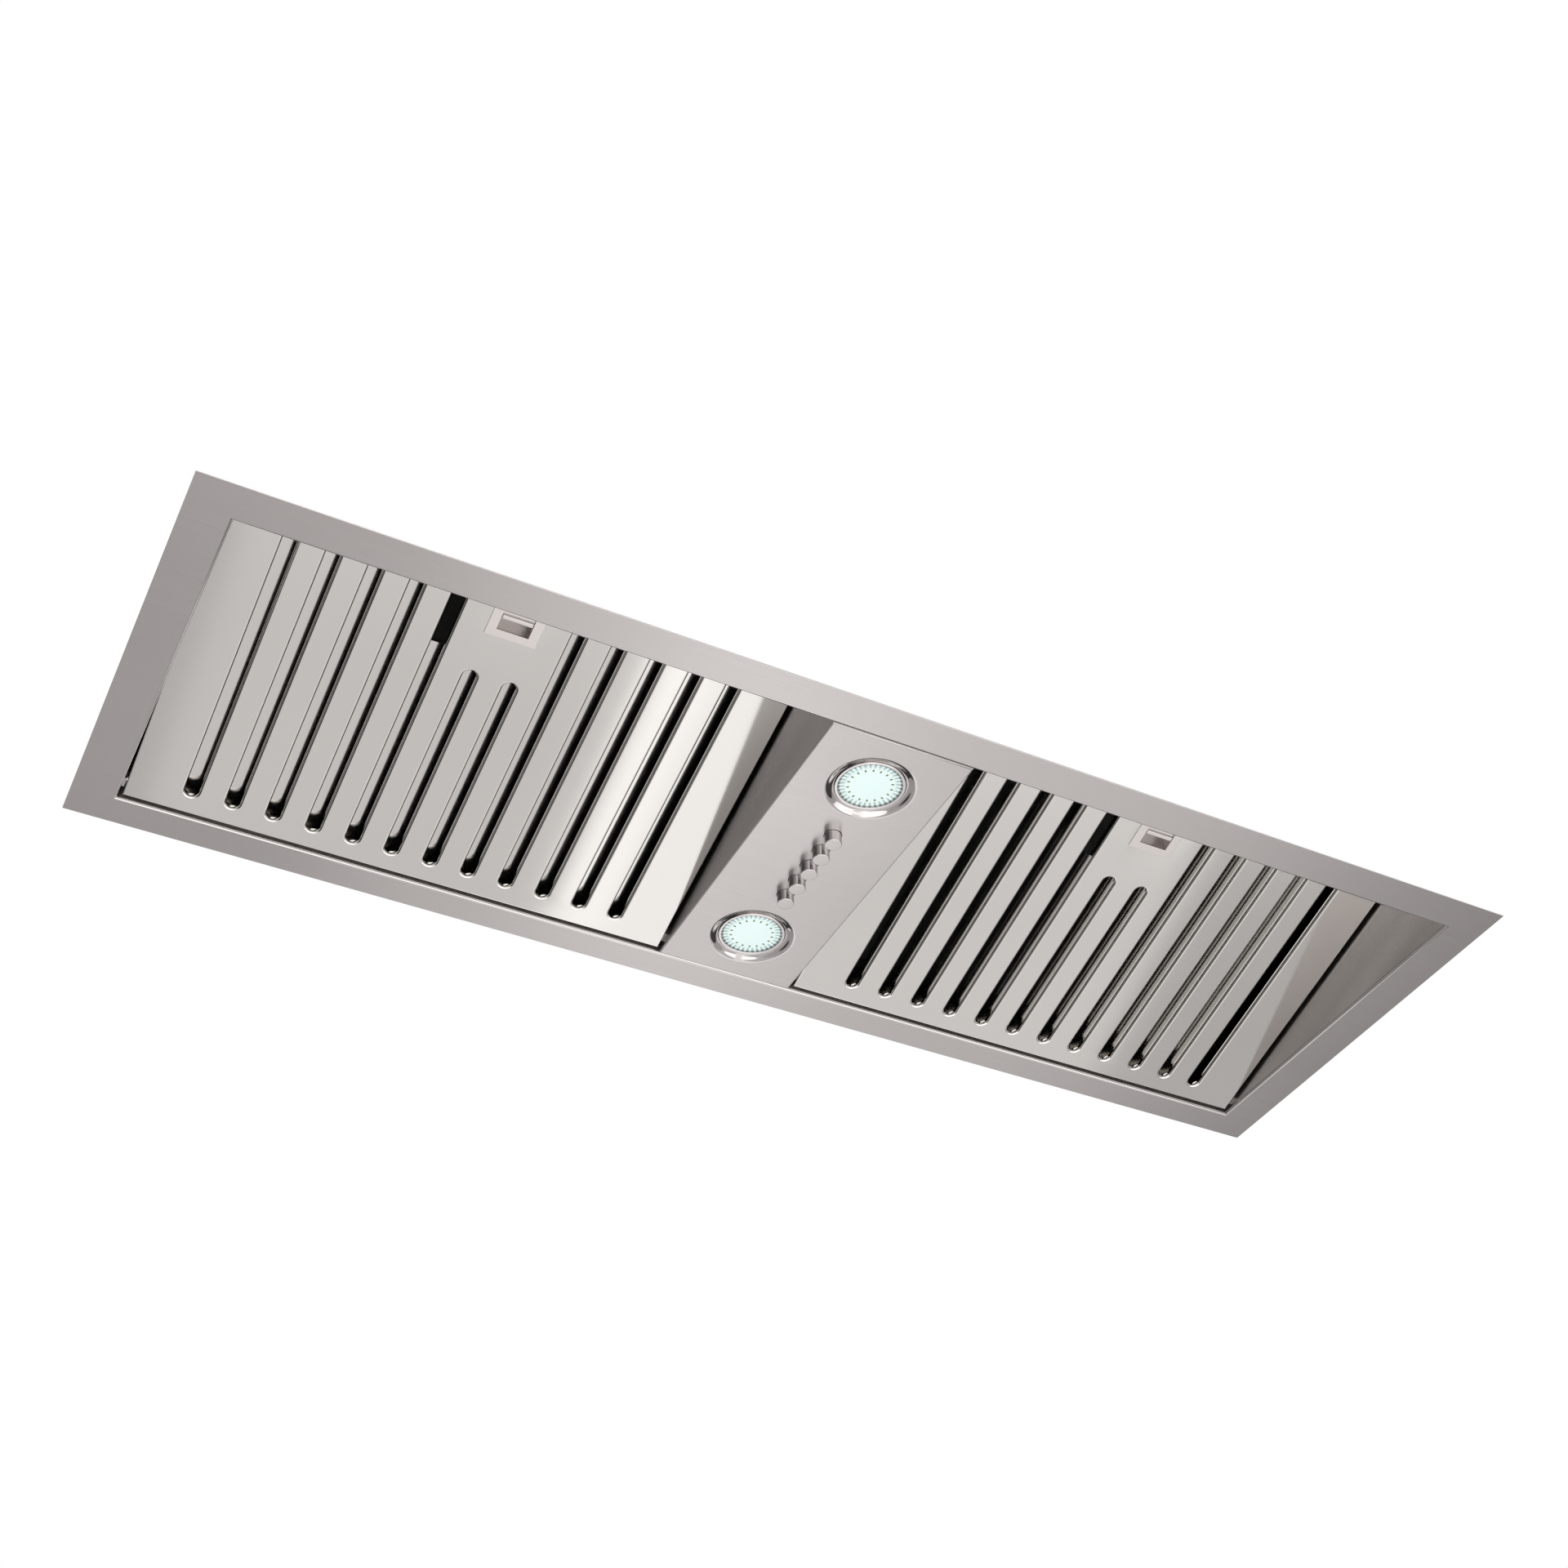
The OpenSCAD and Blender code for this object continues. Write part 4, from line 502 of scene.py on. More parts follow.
class HOOD_OT_stage(Operator):
    """Sets the white backdrop, the pale floor, the soft lights and the camera"""
    bl_idname = "hood.stage"
    bl_label = "Stage"

    def execute(self, context):
        scene = context.scene
        scene.view_settings.view_transform = "Standard"
        self.surroundings(scene)
        self.floor()
        self.flags()
        self.ceiling()
        self.lights(scene)
        self.camera(scene)
        return {"FINISHED"}

    def surroundings(self, scene):
        """White to the camera and in reflections, and half as strong in diffuse light."""
        world = bpy.data.worlds.new("studio")
        scene.world = world
        world.use_nodes = True
        tree = world.node_tree
        tree.nodes.clear()
        rays = add(tree, "ShaderNodeLightPath").outputs
        seen = add(tree, "ShaderNodeMath", links={0: rays["Is Camera Ray"], 1: rays["Is Glossy Ray"]},
                   operation="ADD", use_clamp=True).outputs[0]
        seen = add(tree, "ShaderNodeMath", links={0: seen, 1: rays["Is Transmission Ray"]},
                   operation="ADD", use_clamp=True).outputs[0]
        soft = add(tree, "ShaderNodeBackground", {"Color": (1, 1, 1, 1), "Strength": 0.5}).outputs[0]
        white = add(tree, "ShaderNodeBackground", {"Color": (1, 1, 1, 1), "Strength": 1.0}).outputs[0]
        both = add(tree, "ShaderNodeMixShader", links={0: seen, 1: soft, 2: white}).outputs[0]
        add(tree, "ShaderNodeOutputWorld", links={"Surface": both})

    def floor(self):
        reach = 6.0
        bm = bmesh.new()
        bmesh.ops.create_grid(bm, x_segments=1, y_segments=1, size=reach,
                              matrix=Matrix.Translation((0, 0, FLOOR_Z)))
        paper = grained("matt_paper_floor", linear("#E2E0E0"), 0.9, 0.0, 3 * MM, 0.1 * MM, 0.02)
        floor = loose("floor", bm, paper)

    def flags(self):
        """Dark cards left, right and behind, for the rolled edges that would else mirror a white room."""
        left, right, standing = (-3.2, -0.60), (1.85, 5.5), (0.2, 2.6)
        front, back, top = -0.4, 3.3, 0.1
        level = FLOOR_Z + 10 * MM
        bm = bmesh.new()
        for low, high in (left, right):
            bmesh.ops.contextual_create(bm, geom=closed_row(bm, rectangle(low, high, front, back, level)))
        corners = [Vector((x, back, level)) for x in standing]
        corners += [Vector((x, back, top)) for x in reversed(standing)]
        bmesh.ops.contextual_create(bm, geom=closed_row(bm, corners))
        felt = grained("dark_felt_cards", linear("#4A4848"), 0.95, 0.0, 2 * MM, 0.2 * MM, 0.05)
        cards = loose("flags", bm, felt, ("camera", "diffuse", "shadow"))

    def ceiling(self):
        """A white sheet in the plane of the flange, seen only from below, as under a cabinet."""
        low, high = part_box("canopy_shell")
        gap, reach, level = 3 * MM, 9.0, 0.2 * MM
        bm = bmesh.new()
        edges = closed_row(bm, rectangle(low.x - gap, high.x + gap, low.y - gap, high.y + gap, level))
        grow(bm, edges, corner((-reach, -reach), (reach, reach), level))
        for face in bm.faces:
            face.normal_update()
            if face.normal.z > 0:
                face.normal_flip()
        material = bpy.data.materials.new("matt_white_backdrop")
        material.use_nodes = True
        tree = material.node_tree
        tree.nodes.clear()
        behind = add(tree, "ShaderNodeNewGeometry").outputs["Backfacing"]
        clear = add(tree, "ShaderNodeBsdfTransparent").outputs[0]
        white = add(tree, "ShaderNodeEmission", {"Color": (1, 1, 1, 1), "Strength": 1.0}).outputs[0]
        both = add(tree, "ShaderNodeMixShader", links={0: behind, 1: white, 2: clear}).outputs[0]
        add(tree, "ShaderNodeOutputMaterial", links={"Surface": both})
        sheet = loose("ceiling", bm, material,
                      ("diffuse", "glossy", "transmission", "shadow", "volume_scatter"))

    def lights(self, scene):
        """Panels on the floor that shine straight up, and two softboxes above that face the hood."""
        panels = {
            "panel_far": ((0.70, 1.30, -1.15), (1.32, 1.2), 1.80),
            "strip_far": ((0.50, 1.30, -1.14), (0.34, 1.2), 0.50),
            "panel_left": ((0.00, 0.20, -1.15), (0.56, 1.0), 0.28),
            "strip_near": ((0.32, 0.20, -1.14), (0.22, 1.0), 0.40),
            "panel_right": ((0.70, 0.20, -1.15), (0.60, 1.0), 0.42),
            "panel_front": ((0.25, -0.70, -1.14), (2.0, 1.5), 10.0),
        }
        softboxes = {
            "softbox_above": ((-0.9, -1.4, 1.9), (2.6, 2.6), 25.0),
            "softbox_back": ((1.6, 1.5, 1.4), (1.8, 1.8), 9.0),
        }
        body = Vector((0, 0, 0.1))
        for name, (place, size, power) in {**panels, **softboxes}.items():
            data = bpy.data.lights.new(name, "AREA")
            data.shape = "RECTANGLE"
            data.size, data.size_y = size
            data.energy = power
            lamp = bpy.data.objects.new(name, data)
            lamp.location = place
            way = body - Vector(place) if name in softboxes else Vector((0, 0, 1))
            lamp.rotation_euler = way.to_track_quat("-Z", "Y").to_euler()
            lamp.visible_camera = False
            scene.collection.objects.link(lamp)

    def camera(self, scene):
        """The viewpoint worked out from the corners of the flange and of its opening."""
        place = Vector((-0.5085, -0.9397, -0.8734))
        right = Vector((0.89264, -0.45047, -0.01651))
        up = Vector((-0.28650, -0.59524, 0.75074))
        data = bpy.data.cameras.new("camera")
        data.sensor_width = 36.0
        data.lens = 50.68
        data.clip_start = 0.01
        camera = bpy.data.objects.new("camera", data)
        turn = Matrix((right, up, right.cross(up))).transposed().to_4x4()
        camera.matrix_world = Matrix.Translation(place) @ turn
        scene.collection.objects.link(camera)
        scene.camera = camera


class HOOD_OT_finishes(Operator):
    """Makes every finish and gives each CAD node its own"""
    bl_idname = "hood.finishes"
    bl_label = "Finishes"

    def execute(self, context):
        finishes.update(all_materials(context.scene.hood_colours))
        slots = {part["node"]: part["material_slot"] for part in frame["record"]["subparts"]}
        for name, node in frame["nodes"].items():
            finish = finishes[slots[name]]
            if not node.material_slots:
                node.data.materials.append(finish)
            for slot in node.material_slots:
                slot.material = finish
        return {"FINISHED"}


class HOOD_OT_flange(Operator):
    """Builds the flange, bent up all round into the skirt"""
    bl_idname = "hood.flange"
    bl_label = "Flange"

    def execute(self, context):
        sizes = context.scene.hood_flange
        low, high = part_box("flange_frame")
        half_x, front, back, under = opening()
        bm = bmesh.new()

        def inside(out, z):
            return rectangle(-half_x - out, half_x + out, front - out, back + out, z)

        def outside(inset, z):
            return rectangle(low.x + inset, high.x - inset, low.y + inset, high.y - inset, z)

        bend, sheet, steps = sizes.bend, sizes.sheet, 8
        inner = bend - sheet
        loops = [inside(0, high.z), inside(0, under + bend)]
        loops += [inside(bend * (1 - math.cos(a)), under + bend * (1 - math.sin(a))) for a in arc(steps)]
        loops += [outside(i, under + z) for i, z in edge_points(sizes.edge)]
        loops += [outside(i, under + sheet - z) for i, z in reversed(edge_points(sizes.edge))]
        loops += [inside(bend - inner * math.cos(a), under + bend - inner * math.sin(a))
                  for a in reversed(arc(steps))]
        loops += [inside(sheet, under + bend), inside(sheet, high.z)]
        edges = first = closed_row(bm, loops[0])
        for i, points in enumerate(loops[1:]):
            finish = 1 if 1 <= i <= steps else 0
            edges = grow(bm, edges, lambda co, points=points: nearest_corner(co, points), finish)
        bmesh.ops.bridge_loops(bm, edges=edges + first)
        piece("flange", bm, "brushed_stainless", "hood", ["flange_frame"], second_finish="pressed_flange")
        return {"FINISHED"}


def nearest_corner(co, corners):
    """The one of four corners on a vertex's own side in X and in Y."""
    return next(p for p in corners if (p.x > 0) == (co.x > 0) and (p.y > 0) == (co.y > 0))


def fill(bm, edges):
    """Fills a flat outline and leaves the rows inside it open."""
    bmesh.ops.triangle_fill(bm, use_beauty=True, use_dissolve=False, edges=edges)


def corner(low, high, z):
    """A place function that sends each vertex to its own corner of a rectangle."""
    middle_x, middle_y = (low[0] + high[0]) / 2, (low[1] + high[1]) / 2
    return lambda co: Vector((high[0] if co.x > middle_x else low[0],
                              high[1] if co.y > middle_y else low[1], z))


def fixed(x, y):
    """An anchor function that gives every vertex the same anchor."""
    return lambda co: Vector((x, y, 0))


def spoke(anchor, radius, z):
    """A place function that sets each vertex at a distance from its anchor, at a height."""
    def place(co):
        heart = anchor(co)
        out = Vector((co.x - heart.x, co.y - heart.y, 0)).normalized()
        return Vector((heart.x, heart.y, z)) + out * radius
    return place


def prism(bm, outline, z0, z1, bevel=0.0):
    """An upright solid over an outline, its long edges rounded off."""
    face = bm.faces.new([bm.verts.new((*p, z0)) for p in outline])
    side = bmesh.ops.extrude_face_region(bm, geom=[face])["geom"]
    top = rows(side, bmesh.types.BMVert)
    bmesh.ops.translate(bm, verts=top, vec=(0, 0, z1 - z0))
    if bevel:
        soften(bm, [*top, *face.verts], bevel)


class HOOD_OT_centre_panel(Operator):
    """Builds the centre panel with its two stamped dishes, button holes, cheeks and end tabs"""
    bl_idname = "hood.centre_panel"
    bl_label = "Centre panel"

    def execute(self, context):
        sizes = context.scene.hood_panel
        low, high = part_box("centre_panel")
        half, under = sizes.width / 2, low.z
        bm = bmesh.new()

        def tray(inset):
            return (-half + inset, low.y + inset), (half - inset, high.y - inset)

        (x0, y0), (x1, y1) = tray(sizes.bend)
        flat = closed_row(bm, rectangle(x0, x1, y0, y1, under))
        dishes = [closed_row(bm, circle(0, y, under, sizes.dish_radius, FACETS["lamp"]))
                  for y in lamp_rows()]
        hole = sizes.button_radius + sizes.button_gap
        burr = 0.3 * MM
        holes = [closed_row(bm, circle(0, y, under, hole + burr, FACETS["button_hole"]))
                 for y in button_rows()]
        fill(bm, flat + sum(dishes + holes, []))
        edges = flat
        for inset, up in quarter(sizes.bend):
            edges = grow(bm, edges, corner(*tray(inset), under + up))
        edges = grow(bm, edges, corner(*tray(0), under + sizes.end_height))
        cheeks = [e for e in edges if abs(e.verts[0].co.x - e.verts[1].co.x) < MM]
        grow(bm, cheeks, corner(*tray(0), high.z))
        steps = 12
        for y, edges in zip(lamp_rows(), dishes):
            for share in (i / steps for i in range(1, steps + 1)):
                radius = sizes.dish_radius + (sizes.dish_hole - sizes.dish_radius) * share
                rise = sizes.dish_depth * (1 - math.cos(math.pi * share)) / 2
                edges = grow(bm, edges, spoke(fixed(0, y), radius, under + rise), 1)
        for y, edges in zip(button_rows(), holes):
            for inset, up in quarter(burr, 3):
                edges = grow(bm, edges, spoke(fixed(0, y), hole + inset, under + up))
        piece("centre_panel_sheet", bm, "brushed_stainless", "hood", ["centre_panel"], sheet=sizes.sheet,
              second_finish="pressed_flange")
        return {"FINISHED"}


def lamp_rows():
    """The y of each lamp."""
    sizes = bpy.context.scene.hood_panel
    return [sizes.row_y + side * sizes.lamp_off for side in (-1, 1)]


def button_rows():
    """The y of each button, from the front."""
    sizes = bpy.context.scene.hood_panel
    middle = (sizes.button_count - 1) / 2
    return [sizes.row_y + (i - middle) * sizes.button_pitch for i in range(sizes.button_count)]


class HOOD_OT_lamps(Operator):
    """Builds the lamps' chromed rings, their lit lenses, their diodes and their finned bodies"""
    bl_idname = "hood.lamps"
    bl_label = "Lamps"

    def execute(self, context):
        sizes = context.scene.hood_panel
        low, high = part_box("lamp_lenses")
        self.rings(sizes, low.z)
        self.lenses(sizes, low.z, high.z)
        self.diodes(sizes, low.z)
        self.bodies()
        return {"FINISHED"}

    def rings(self, sizes, lens_z):
        low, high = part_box("lamp_rings")
        reach = (high.x - low.x) / 2
        lens_cover, lens_play, hole_play = 0.35 * MM, 0.05 * MM, 0.1 * MM
        roll, seat_height = 0.55 * MM, 1.8 * MM
        bore, pocket = sizes.lens_radius - lens_cover, sizes.lens_radius + lens_play
        outer, seat = sizes.dish_hole - hole_play, low.z + seat_height
        rounding = edge_points(roll, 5)
        profile = [(bore + inset, low.z + up) for inset, up in reversed(rounding)]
        profile += [(outer - inset, low.z + up) for inset, up in rounding]
        profile += [(outer, seat), (reach, seat), (reach, high.z), (pocket, high.z), (pocket, lens_z),
                    (bore, lens_z)]
        bm = bmesh.new()
        for y in lamp_rows():
            turned(bm, profile, (0, y, 0), FACETS["lamp"])
        piece("lamp_trim_rings", bm, "chrome_trim", "hood", ["lamp_rings"])

    def lenses(self, sizes, low_z, high_z):
        """Discs whose lower face steps in bands, given as shares of the radius and of the thickness."""
        band_shares = [(1.0, 0.0), (0.975, 0.0), (0.93, 0.14), (0.80, 0.30), (0.77, 0.16), (0.60, 0.10),
                       (0.30, 0.05)]
        toothed_shares = (0.93, 0.80)
        tooth = 0.22 * MM
        radius = sizes.lens_radius
        bm = bmesh.new()
        uv = bm.loops.layers.uv.new("face")
        for y in lamp_rows():
            start = len(bm.verts)
            edges = closed_row(bm, circle(0, y, high_z, radius, FACETS["lamp"]))
            bmesh.ops.contextual_create(bm, geom=edges)
            for share, sink in band_shares:
                z = low_z + sink * (high_z - low_z)
                edges = grow(bm, edges, spoke(fixed(0, y), radius * share, z))
                if share in toothed_shares:
                    ring = sorted({v for e in edges for v in e.verts},
                                  key=lambda v, y=y: math.atan2(v.co.y - y, v.co.x))
                    for vert in ring[::2]:
                        vert.co.z += tooth
            bmesh.ops.contextual_create(bm, geom=edges)
            bm.verts.ensure_lookup_table()
            for vert in bm.verts[start:]:
                for loop in vert.link_loops:
                    loop[uv].uv = (vert.co.x / radius, (vert.co.y - y) / radius)
        piece("lamp_lit_lenses", bm, "lamp_glass", "hood", ["lamp_lenses"], crease=12)

    def diodes(self, sizes, low_z):
        ring_share = 0.68
        half_x, half_y, thick, sunk, edge = 0.85 * MM, 0.55 * MM, 0.4 * MM, 0.1 * MM, 0.1 * MM
        spread, under = ring_share * sizes.lens_radius, low_z + sunk
        bm = bmesh.new()
        for y in lamp_rows():
            for i in range(sizes.led_count):
                turn = 2 * math.pi * (i + 0.5) / sizes.led_count
                before = len(bm.verts)
                block(bm, (spread - half_x, -half_y, under), (spread + half_x, half_y, under + thick), edge,
                      segments=1)
                bm.verts.ensure_lookup_table()
                bmesh.ops.transform(bm, verts=bm.verts[before:],
                                    matrix=Matrix.Translation((0, y, 0)) @ Matrix.Rotation(turn, 4, "Z"))
        piece("lamp_diodes", bm, "lamp_glass", "hood", [], finish="diode")

    def bodies(self):
        low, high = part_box("lamp_bodies")
        core_share, face_share = 0.66, 0.88
        fins, fin, edge = 5, 1.4 * MM, 0.3 * MM
        reach = high.x
        core, face = reach * core_share, reach * face_share
        step = (high.z - low.z - fin) / (fins - 1)
        profile = [(0, low.z), (face, low.z), (face, low.z + fin), (core, low.z + fin)]
        for z in (low.z + i * step for i in range(1, fins)):
            profile += [(core, z), (reach - edge, z), (reach, z + edge), (reach, z + fin - edge),
                        (reach - edge, z + fin), (core, z + fin)]
        profile += [(0, high.z)]
        bm = bmesh.new()
        for y in lamp_rows():
            turned(bm, profile, (0, y, 0), FACETS["heat_sink"])
        piece("lamp_heat_sinks", bm, "lamp_aluminium", "hood", ["lamp_bodies"])


class HOOD_OT_buttons(Operator):
    """Builds the push buttons with their turned caps, collars and stems"""
    bl_idname = "hood.buttons"
    bl_label = "Buttons"

    def execute(self, context):
        sizes = context.scene.hood_panel
        edge, stem, tip = 0.5 * MM, 2.4 * MM, 0.4 * MM
        collar_low, collar_high = 0.3 * MM, 1.8 * MM
        near = 0.01 * MM
        for i, y in enumerate(button_rows(), 1):
            low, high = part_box(f"button_{i}")
            radius, collar = sizes.button_radius, (high.x - low.x) / 2
            cap = [(radius - inset, low.z + up) for inset, up in edge_points(edge, 4)]
            profile = [(0, low.z), *cap, (radius, collar_low), (collar, collar_low), (collar, collar_high),
                       (stem, collar_high), (stem, high.z - tip), (stem - tip, high.z), (0, high.z)]
            bm = bmesh.new()
            turned(bm, profile, (0, y, 0), FACETS["button"])
            for face in bm.faces:
                if face.calc_center_median().z < low.z + near:
                    face.material_index = 1
            body = "button_" + "abcde"[i - 1]
            piece(f"button_cap_{i}", bm, "chrome_trim", body, [f"button_{i}"],
                  second_finish="brushed_stainless")
        return {"FINISHED"}


def filter_place(side):
    """Where a filter's own axes lie: Y runs down the slope to the back edge, Z up from the face."""
    sizes = bpy.context.scene.hood_filter
    half_x, front, back, under = opening()
    panel = bpy.context.scene.hood_panel.width / 2
    across = (half_x + panel) / 2
    place = Matrix.Translation((side * across, back - sizes.back_gap, under + sizes.back_up))
    return place @ Matrix.Rotation(-sizes.slope, 4, "X")


def filter_width():
    """Width of a filter."""
    sizes = bpy.context.scene.hood_filter
    return opening()[0] - bpy.context.scene.hood_panel.width / 2 - 2 * sizes.side_gap


def slot_ends(sizes):
    """For each slot its x and the distances of its rounded ends' centres from the back edge."""
    reach = sizes.slot_width / 2 + sizes.lip_radius
    middle = sizes.slots // 2
    for i in range(sizes.slots):
        end = sizes.short_end if i in (middle - 1, middle) else sizes.run - sizes.slot_tip
        yield (i - middle + 0.5) * sizes.slot_pitch, sizes.slot_tip + reach, end - reach


def stadium(x, s0, s1, radius, steps=14):
    """Points round a slot with round ends."""
    turns = [math.pi * k / steps for k in range(steps + 1)]
    return [Vector((x + radius * math.cos(start + a), y + radius * math.sin(start + a), 0))
            for y, start in ((-s0, 0.0), (-s1, math.pi)) for a in turns]


def latch_window(latch, sizes):
    """Corners of the notch that the latch's body fills in a filter's face."""
    play, cover, bend_share = 0.2 * MM, 1.8 * MM, 1.15
    wide = latch.body_width / 2 + play
    return rectangle(-wide, wide, -sizes.run + bend_share * sizes.bend, -latch.start - cover, 0)


class HOOD_OT_filters(Operator):
    """Builds each filter's face with its rolled slots, upright rim and studs"""
    bl_idname = "hood.filters"
    bl_label = "Filters"

    def execute(self, context):
        sizes = context.scene.hood_filter
        half, run, bend = filter_width() / 2, sizes.run, sizes.bend
        reach = sizes.slot_width / 2 + sizes.lip_radius
        for name, side in SIDES.items():
            bm = bmesh.new()
            flat = closed_row(bm, rectangle(-half + bend, half - bend, -run + bend, -bend, 0))
            slots = [(x, s0, s1, closed_row(bm, stadium(x, s0, s1, reach)))
                     for x, s0, s1 in slot_ends(sizes)]
            window = closed_row(bm, latch_window(context.scene.hood_latch, sizes))
            fill(bm, flat + window + sum((slot[3] for slot in slots), []))
            edges = flat
            for inset, up in quarter(bend, 4):
                edges = grow(bm, edges, corner((-half + inset, -run + inset), (half - inset, -inset), up))
            grow(bm, edges, corner((-half, -run), (half, 0), sizes.rim))
            for x, s0, s1, edges in slots:
                def anchor(co, x=x, s0=s0, s1=s1):
                    return Vector((x, min(max(co.y, -s1), -s0), 0))
                for inset, up in quarter(sizes.lip_radius, 7):
                    across = sizes.slot_width / 2 + inset
                    edges = grow(bm, edges, spoke(anchor, across, up), 1)
                grow(bm, edges, spoke(anchor, sizes.slot_width / 2, sizes.lip_height), 1)
            bm.transform(filter_place(side))
            piece(f"filter_{name}_sheet", bm, "filter_stainless", f"filter_{name}", [f"filter_{name}_face"],
                  sheet=sizes.sheet, second_finish="pressed_filter")
            self.studs(sizes, name, side, half)
        return {"FINISHED"}

    def studs(self, sizes, name, side, half):
        play, edge = 0.3 * MM, 0.3 * MM
        radius, out = sizes.stud_radius, sizes.side_gap - play
        profile = [(0, -sizes.sheet), (radius, -sizes.sheet), (radius, out - edge), (radius - edge, out),
                   (0, out)]
        bm = bmesh.new()
        for end in (-1, 1):
            stud = bmesh.new()
            turned(stud, profile, (0, 0, 0), FACETS["stud"])
            stud.transform(Matrix.Translation((end * half, -sizes.stud_back, sizes.stud_up))
                           @ Matrix.Rotation(end * math.pi / 2, 4, "Y"))
            join(bm, stud)
        bm.transform(filter_place(side))
        piece(f"filter_{name}_studs", bm, "filter_stainless", f"filter_{name}", [])


def spring_seat():
    """Distance from a filter's back edge to the seat of its latch spring on the body's rib."""
    sizes = bpy.context.scene.hood_latch
    return sizes.start + sizes.hole_in + sizes.finger_length + sizes.rib_off + sizes.rib


class HOOD_OT_latches(Operator):
    """Builds each filter's latch: the frame round the finger hole and the slider in it"""
    bl_idname = "hood.latches"
    bl_label = "Latches"

    def execute(self, context):
        sizes = context.scene.hood_latch
        wide, hole, body = sizes.width / 2, sizes.finger_width / 2, sizes.body_width / 2
        start, lip, hole_s = sizes.start, sizes.start + sizes.lip, sizes.start + sizes.hole_in
        end = context.scene.hood_filter.run - sizes.end_gap
        floor, height, inner = sizes.floor, sizes.body_height, body - sizes.wall
        outline = [(-wide, -start), (-wide, -end), (-hole, -end), (-hole, -hole_s), (hole, -hole_s),
                   (hole, -end), (wide, -end), (wide, -start)]
        frame_edge, wall_edge = 0.2 * MM, 0.3 * MM
        for name, side in SIDES.items():
            bm = bmesh.new()
            prism(bm, outline, -sizes.proud, 0.0, frame_edge)
            block(bm, (-body, -end, 0), (-hole, -lip, floor))
            block(bm, (hole, -end, 0), (body, -lip, floor))
            block(bm, (-hole, -hole_s, 0), (hole, -lip, floor))
            for low, high in ((-body, -inner), (inner, body)):
                block(bm, (low, -end, floor), (high, -lip, height), wall_edge)
            block(bm, (-inner, -lip - sizes.wall, floor), (inner, -lip, height), wall_edge)
            block(bm, (-inner, -end, height - sizes.roof), (inner, -lip, height))
            bm.transform(filter_place(side))
            piece(f"latch_frame_{name}", bm, "latch_zinc", f"filter_{name}", [f"latch_housing_{name}"])
            self.slider(context.scene, name, side)
        return {"FINISHED"}

    def slider(self, scene, name, side):
        sizes, spring = scene.hood_latch, scene.hood_spring
        half = sizes.body_width / 2 - sizes.wall - sizes.play
        grip_half, post_half = sizes.finger_width / 2 - sizes.play, spring.radius + spring.wire_radius
        under, over = sizes.slide_up, sizes.body_height - sizes.roof - sizes.play
        tip_s = scene.hood_filter.run + sizes.reach
        grip_s = sizes.start + sizes.hole_in + sizes.finger_length
        post_s = spring_seat() + spring.room
        tongue_edge, grip_edge, post_edge = 0.4 * MM, 0.5 * MM, 0.2 * MM
        bm = bmesh.new()
        block(bm, (-half, -tip_s, under), (half, -grip_s, under + sizes.tongue), tongue_edge, segments=3)
        block(bm, (-grip_half, -grip_s - sizes.grip, -sizes.proud), (grip_half, -grip_s, over), grip_edge,
              segments=3)
        block(bm, (-post_half, -post_s - sizes.rib, under), (post_half, -post_s, over), post_edge)
        bm.transform(filter_place(side))
        piece(f"latch_slide_{name}", bm, "latch_zinc", f"latch_{name}", [f"latch_slider_{name}"])


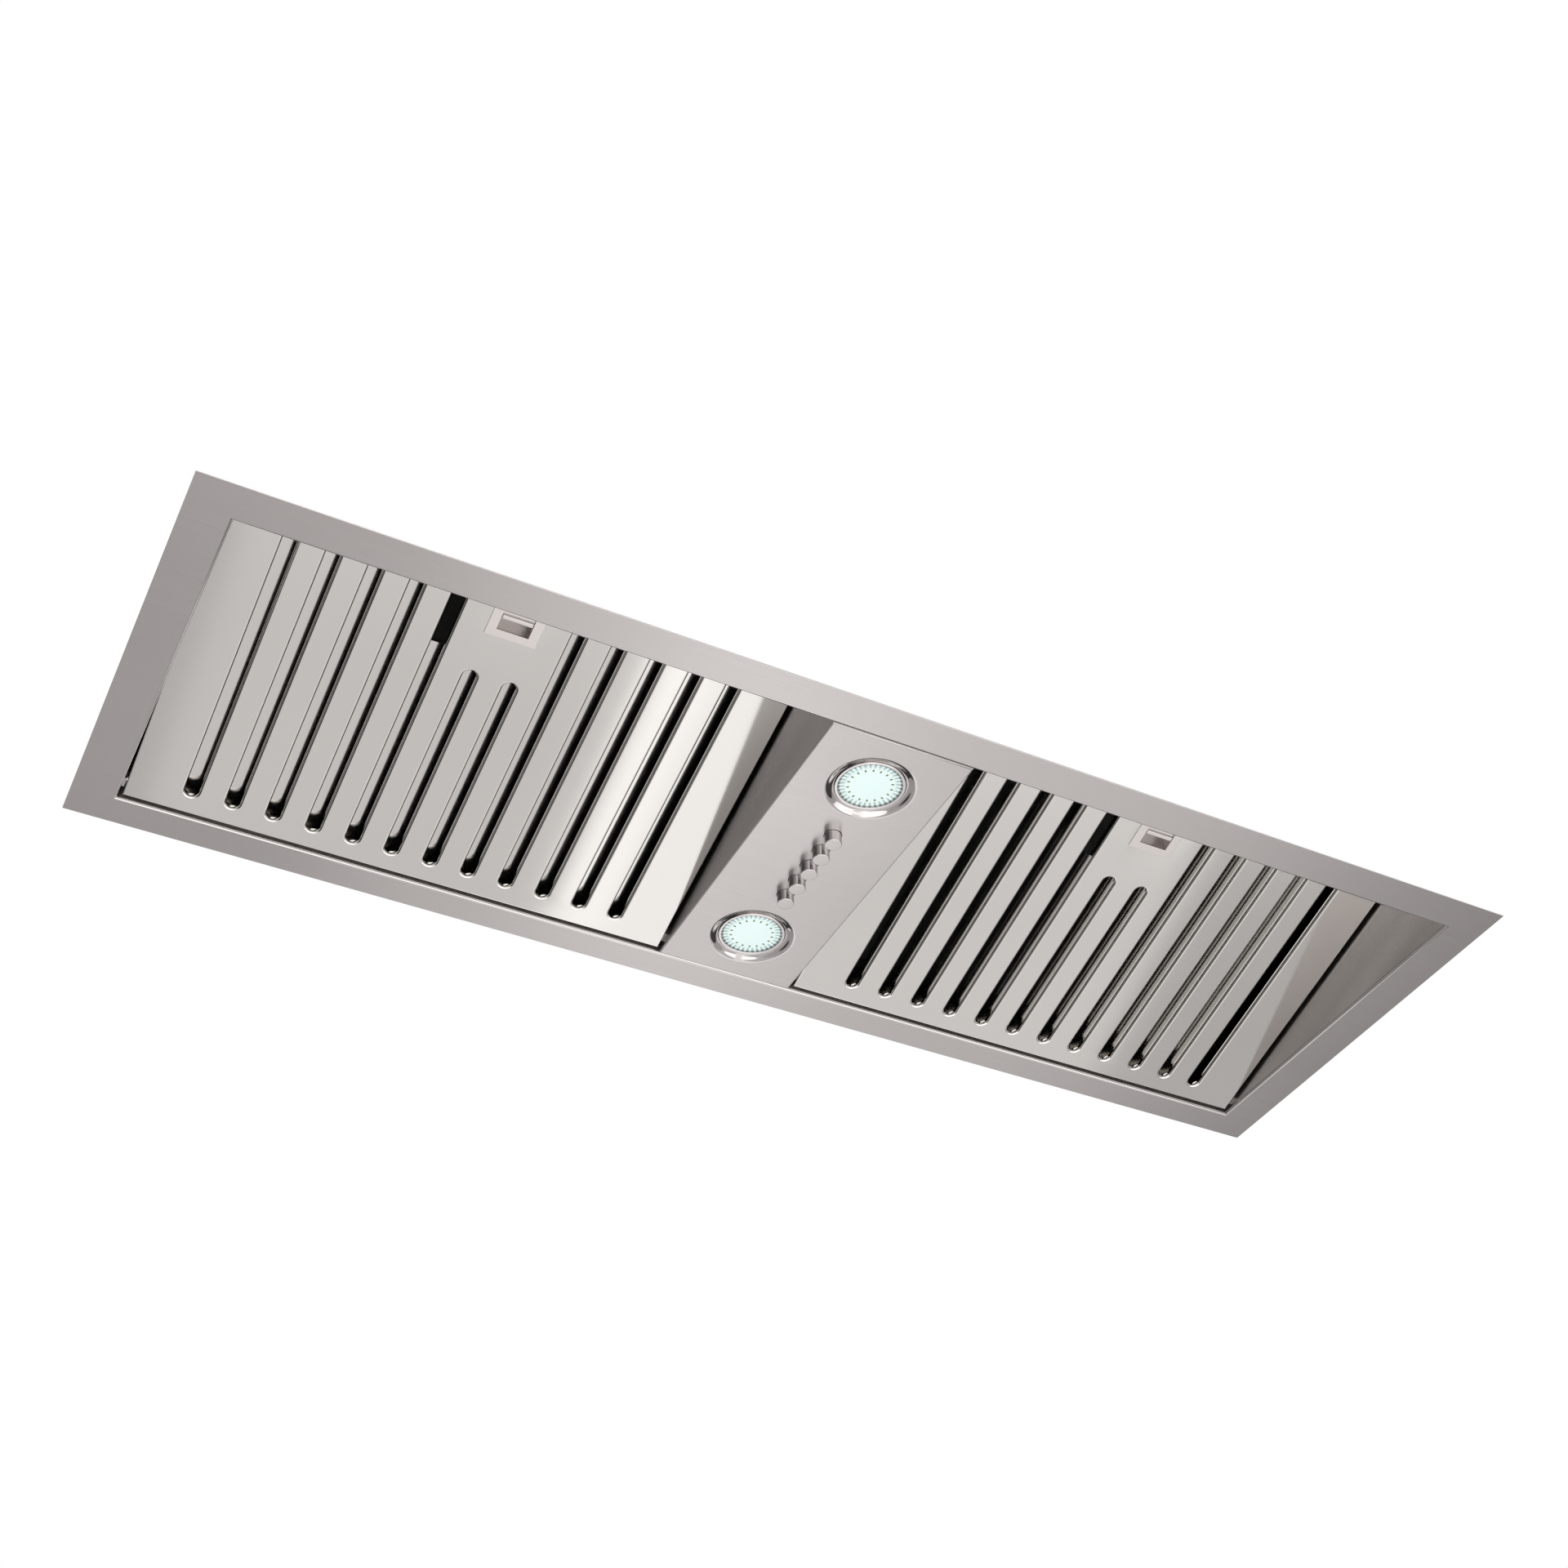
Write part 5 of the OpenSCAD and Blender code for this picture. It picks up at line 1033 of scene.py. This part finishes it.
class HOOD_OT_springs(Operator):
    """Winds the compression spring that pushes each latch shut"""
    bl_idname = "hood.springs"
    bl_label = "Latch springs"

    def execute(self, context):
        sizes = context.scene.hood_spring
        wire = sizes.wire_radius
        fixed_s = spring_seat()
        closed = 2 * wire + sizes.play
        free = sizes.room - 2 * (wire + sizes.gap)
        turn_steps = 24
        for name, side in SIDES.items():
            bm = bmesh.new()
            ring = bmesh.ops.create_circle(bm, cap_ends=True, radius=wire, segments=FACETS["wire"],
                                           matrix=Matrix.Translation((sizes.radius, 0, 0))
                                           @ Matrix.Rotation(math.pi / 2, 4, "X"))["verts"]
            last = list({e for v in ring for e in v.link_edges})
            for turns, rise in ((1, closed), (sizes.turns - 2, free - 2 * closed), (1, closed)):
                steps = turn_steps * turns
                spun = bmesh.ops.spin(bm, geom=last, cent=(0, 0, 0), axis=(0, 0, 1),
                                      angle=2 * math.pi * turns, dvec=(0, 0, rise / steps), steps=steps,
                                      use_merge=False, use_duplicate=False)
                last = rows(spun["geom_last"], bmesh.types.BMEdge)
            bmesh.ops.contextual_create(bm, geom=last)
            place = filter_place(side)
            bm.transform(place @ Matrix.Translation((0, -fixed_s - sizes.gap - wire, sizes.height))
                         @ Matrix.Rotation(math.pi / 2, 4, "X"))
            coil = piece(f"latch_coil_{name}", bm, "ground_steel", f"filter_{name}",
                         [f"latch_spring_{name}"], crease=60.0)
            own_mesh(coil)
        return {"FINISHED"}


CLASSES = [HoodFlangeSizes, HoodPanelSizes, HoodFilterSizes, HoodLatchSizes, HoodSpringSizes, HoodColours,
           HOOD_OT_stage, HOOD_OT_finishes, HOOD_OT_flange, HOOD_OT_centre_panel, HOOD_OT_lamps,
           HOOD_OT_buttons, HOOD_OT_filters, HOOD_OT_latches, HOOD_OT_springs]
GROUPS = {"hood_flange": HoodFlangeSizes, "hood_panel": HoodPanelSizes, "hood_filter": HoodFilterSizes,
          "hood_latch": HoodLatchSizes, "hood_spring": HoodSpringSizes, "hood_colours": HoodColours}


class HOOD_PT_build(Panel):
    """Lists the sizes and the steps in the sidebar"""
    bl_idname = "HOOD_PT_build"
    bl_label = "Range hood"
    bl_space_type = "VIEW_3D"
    bl_region_type = "UI"
    bl_category = "Hood"

    def draw(self, context):
        for name, kind in GROUPS.items():
            self.layout.label(text=kind.__doc__)
            for field in kind.__annotations__:
                self.layout.prop(getattr(context.scene, name), field)
        for step in CLASSES:
            if issubclass(step, Operator):
                self.layout.operator(step.bl_idname)


def register():
    for kind in [*CLASSES, HOOD_PT_build]:
        bpy.utils.register_class(kind)
    for name, kind in GROUPS.items():
        setattr(bpy.types.Scene, name, PointerProperty(type=kind))


def unregister():
    for name in GROUPS:
        delattr(bpy.types.Scene, name)
    for kind in reversed([*CLASSES, HOOD_PT_build]):
        bpy.utils.unregister_class(kind)


def main():
    register()
    for step in CLASSES:
        if issubclass(step, Operator):
            group, name = step.bl_idname.split(".")
            getattr(getattr(bpy.ops, group), name)()


if __name__ == "__main__":
    main()
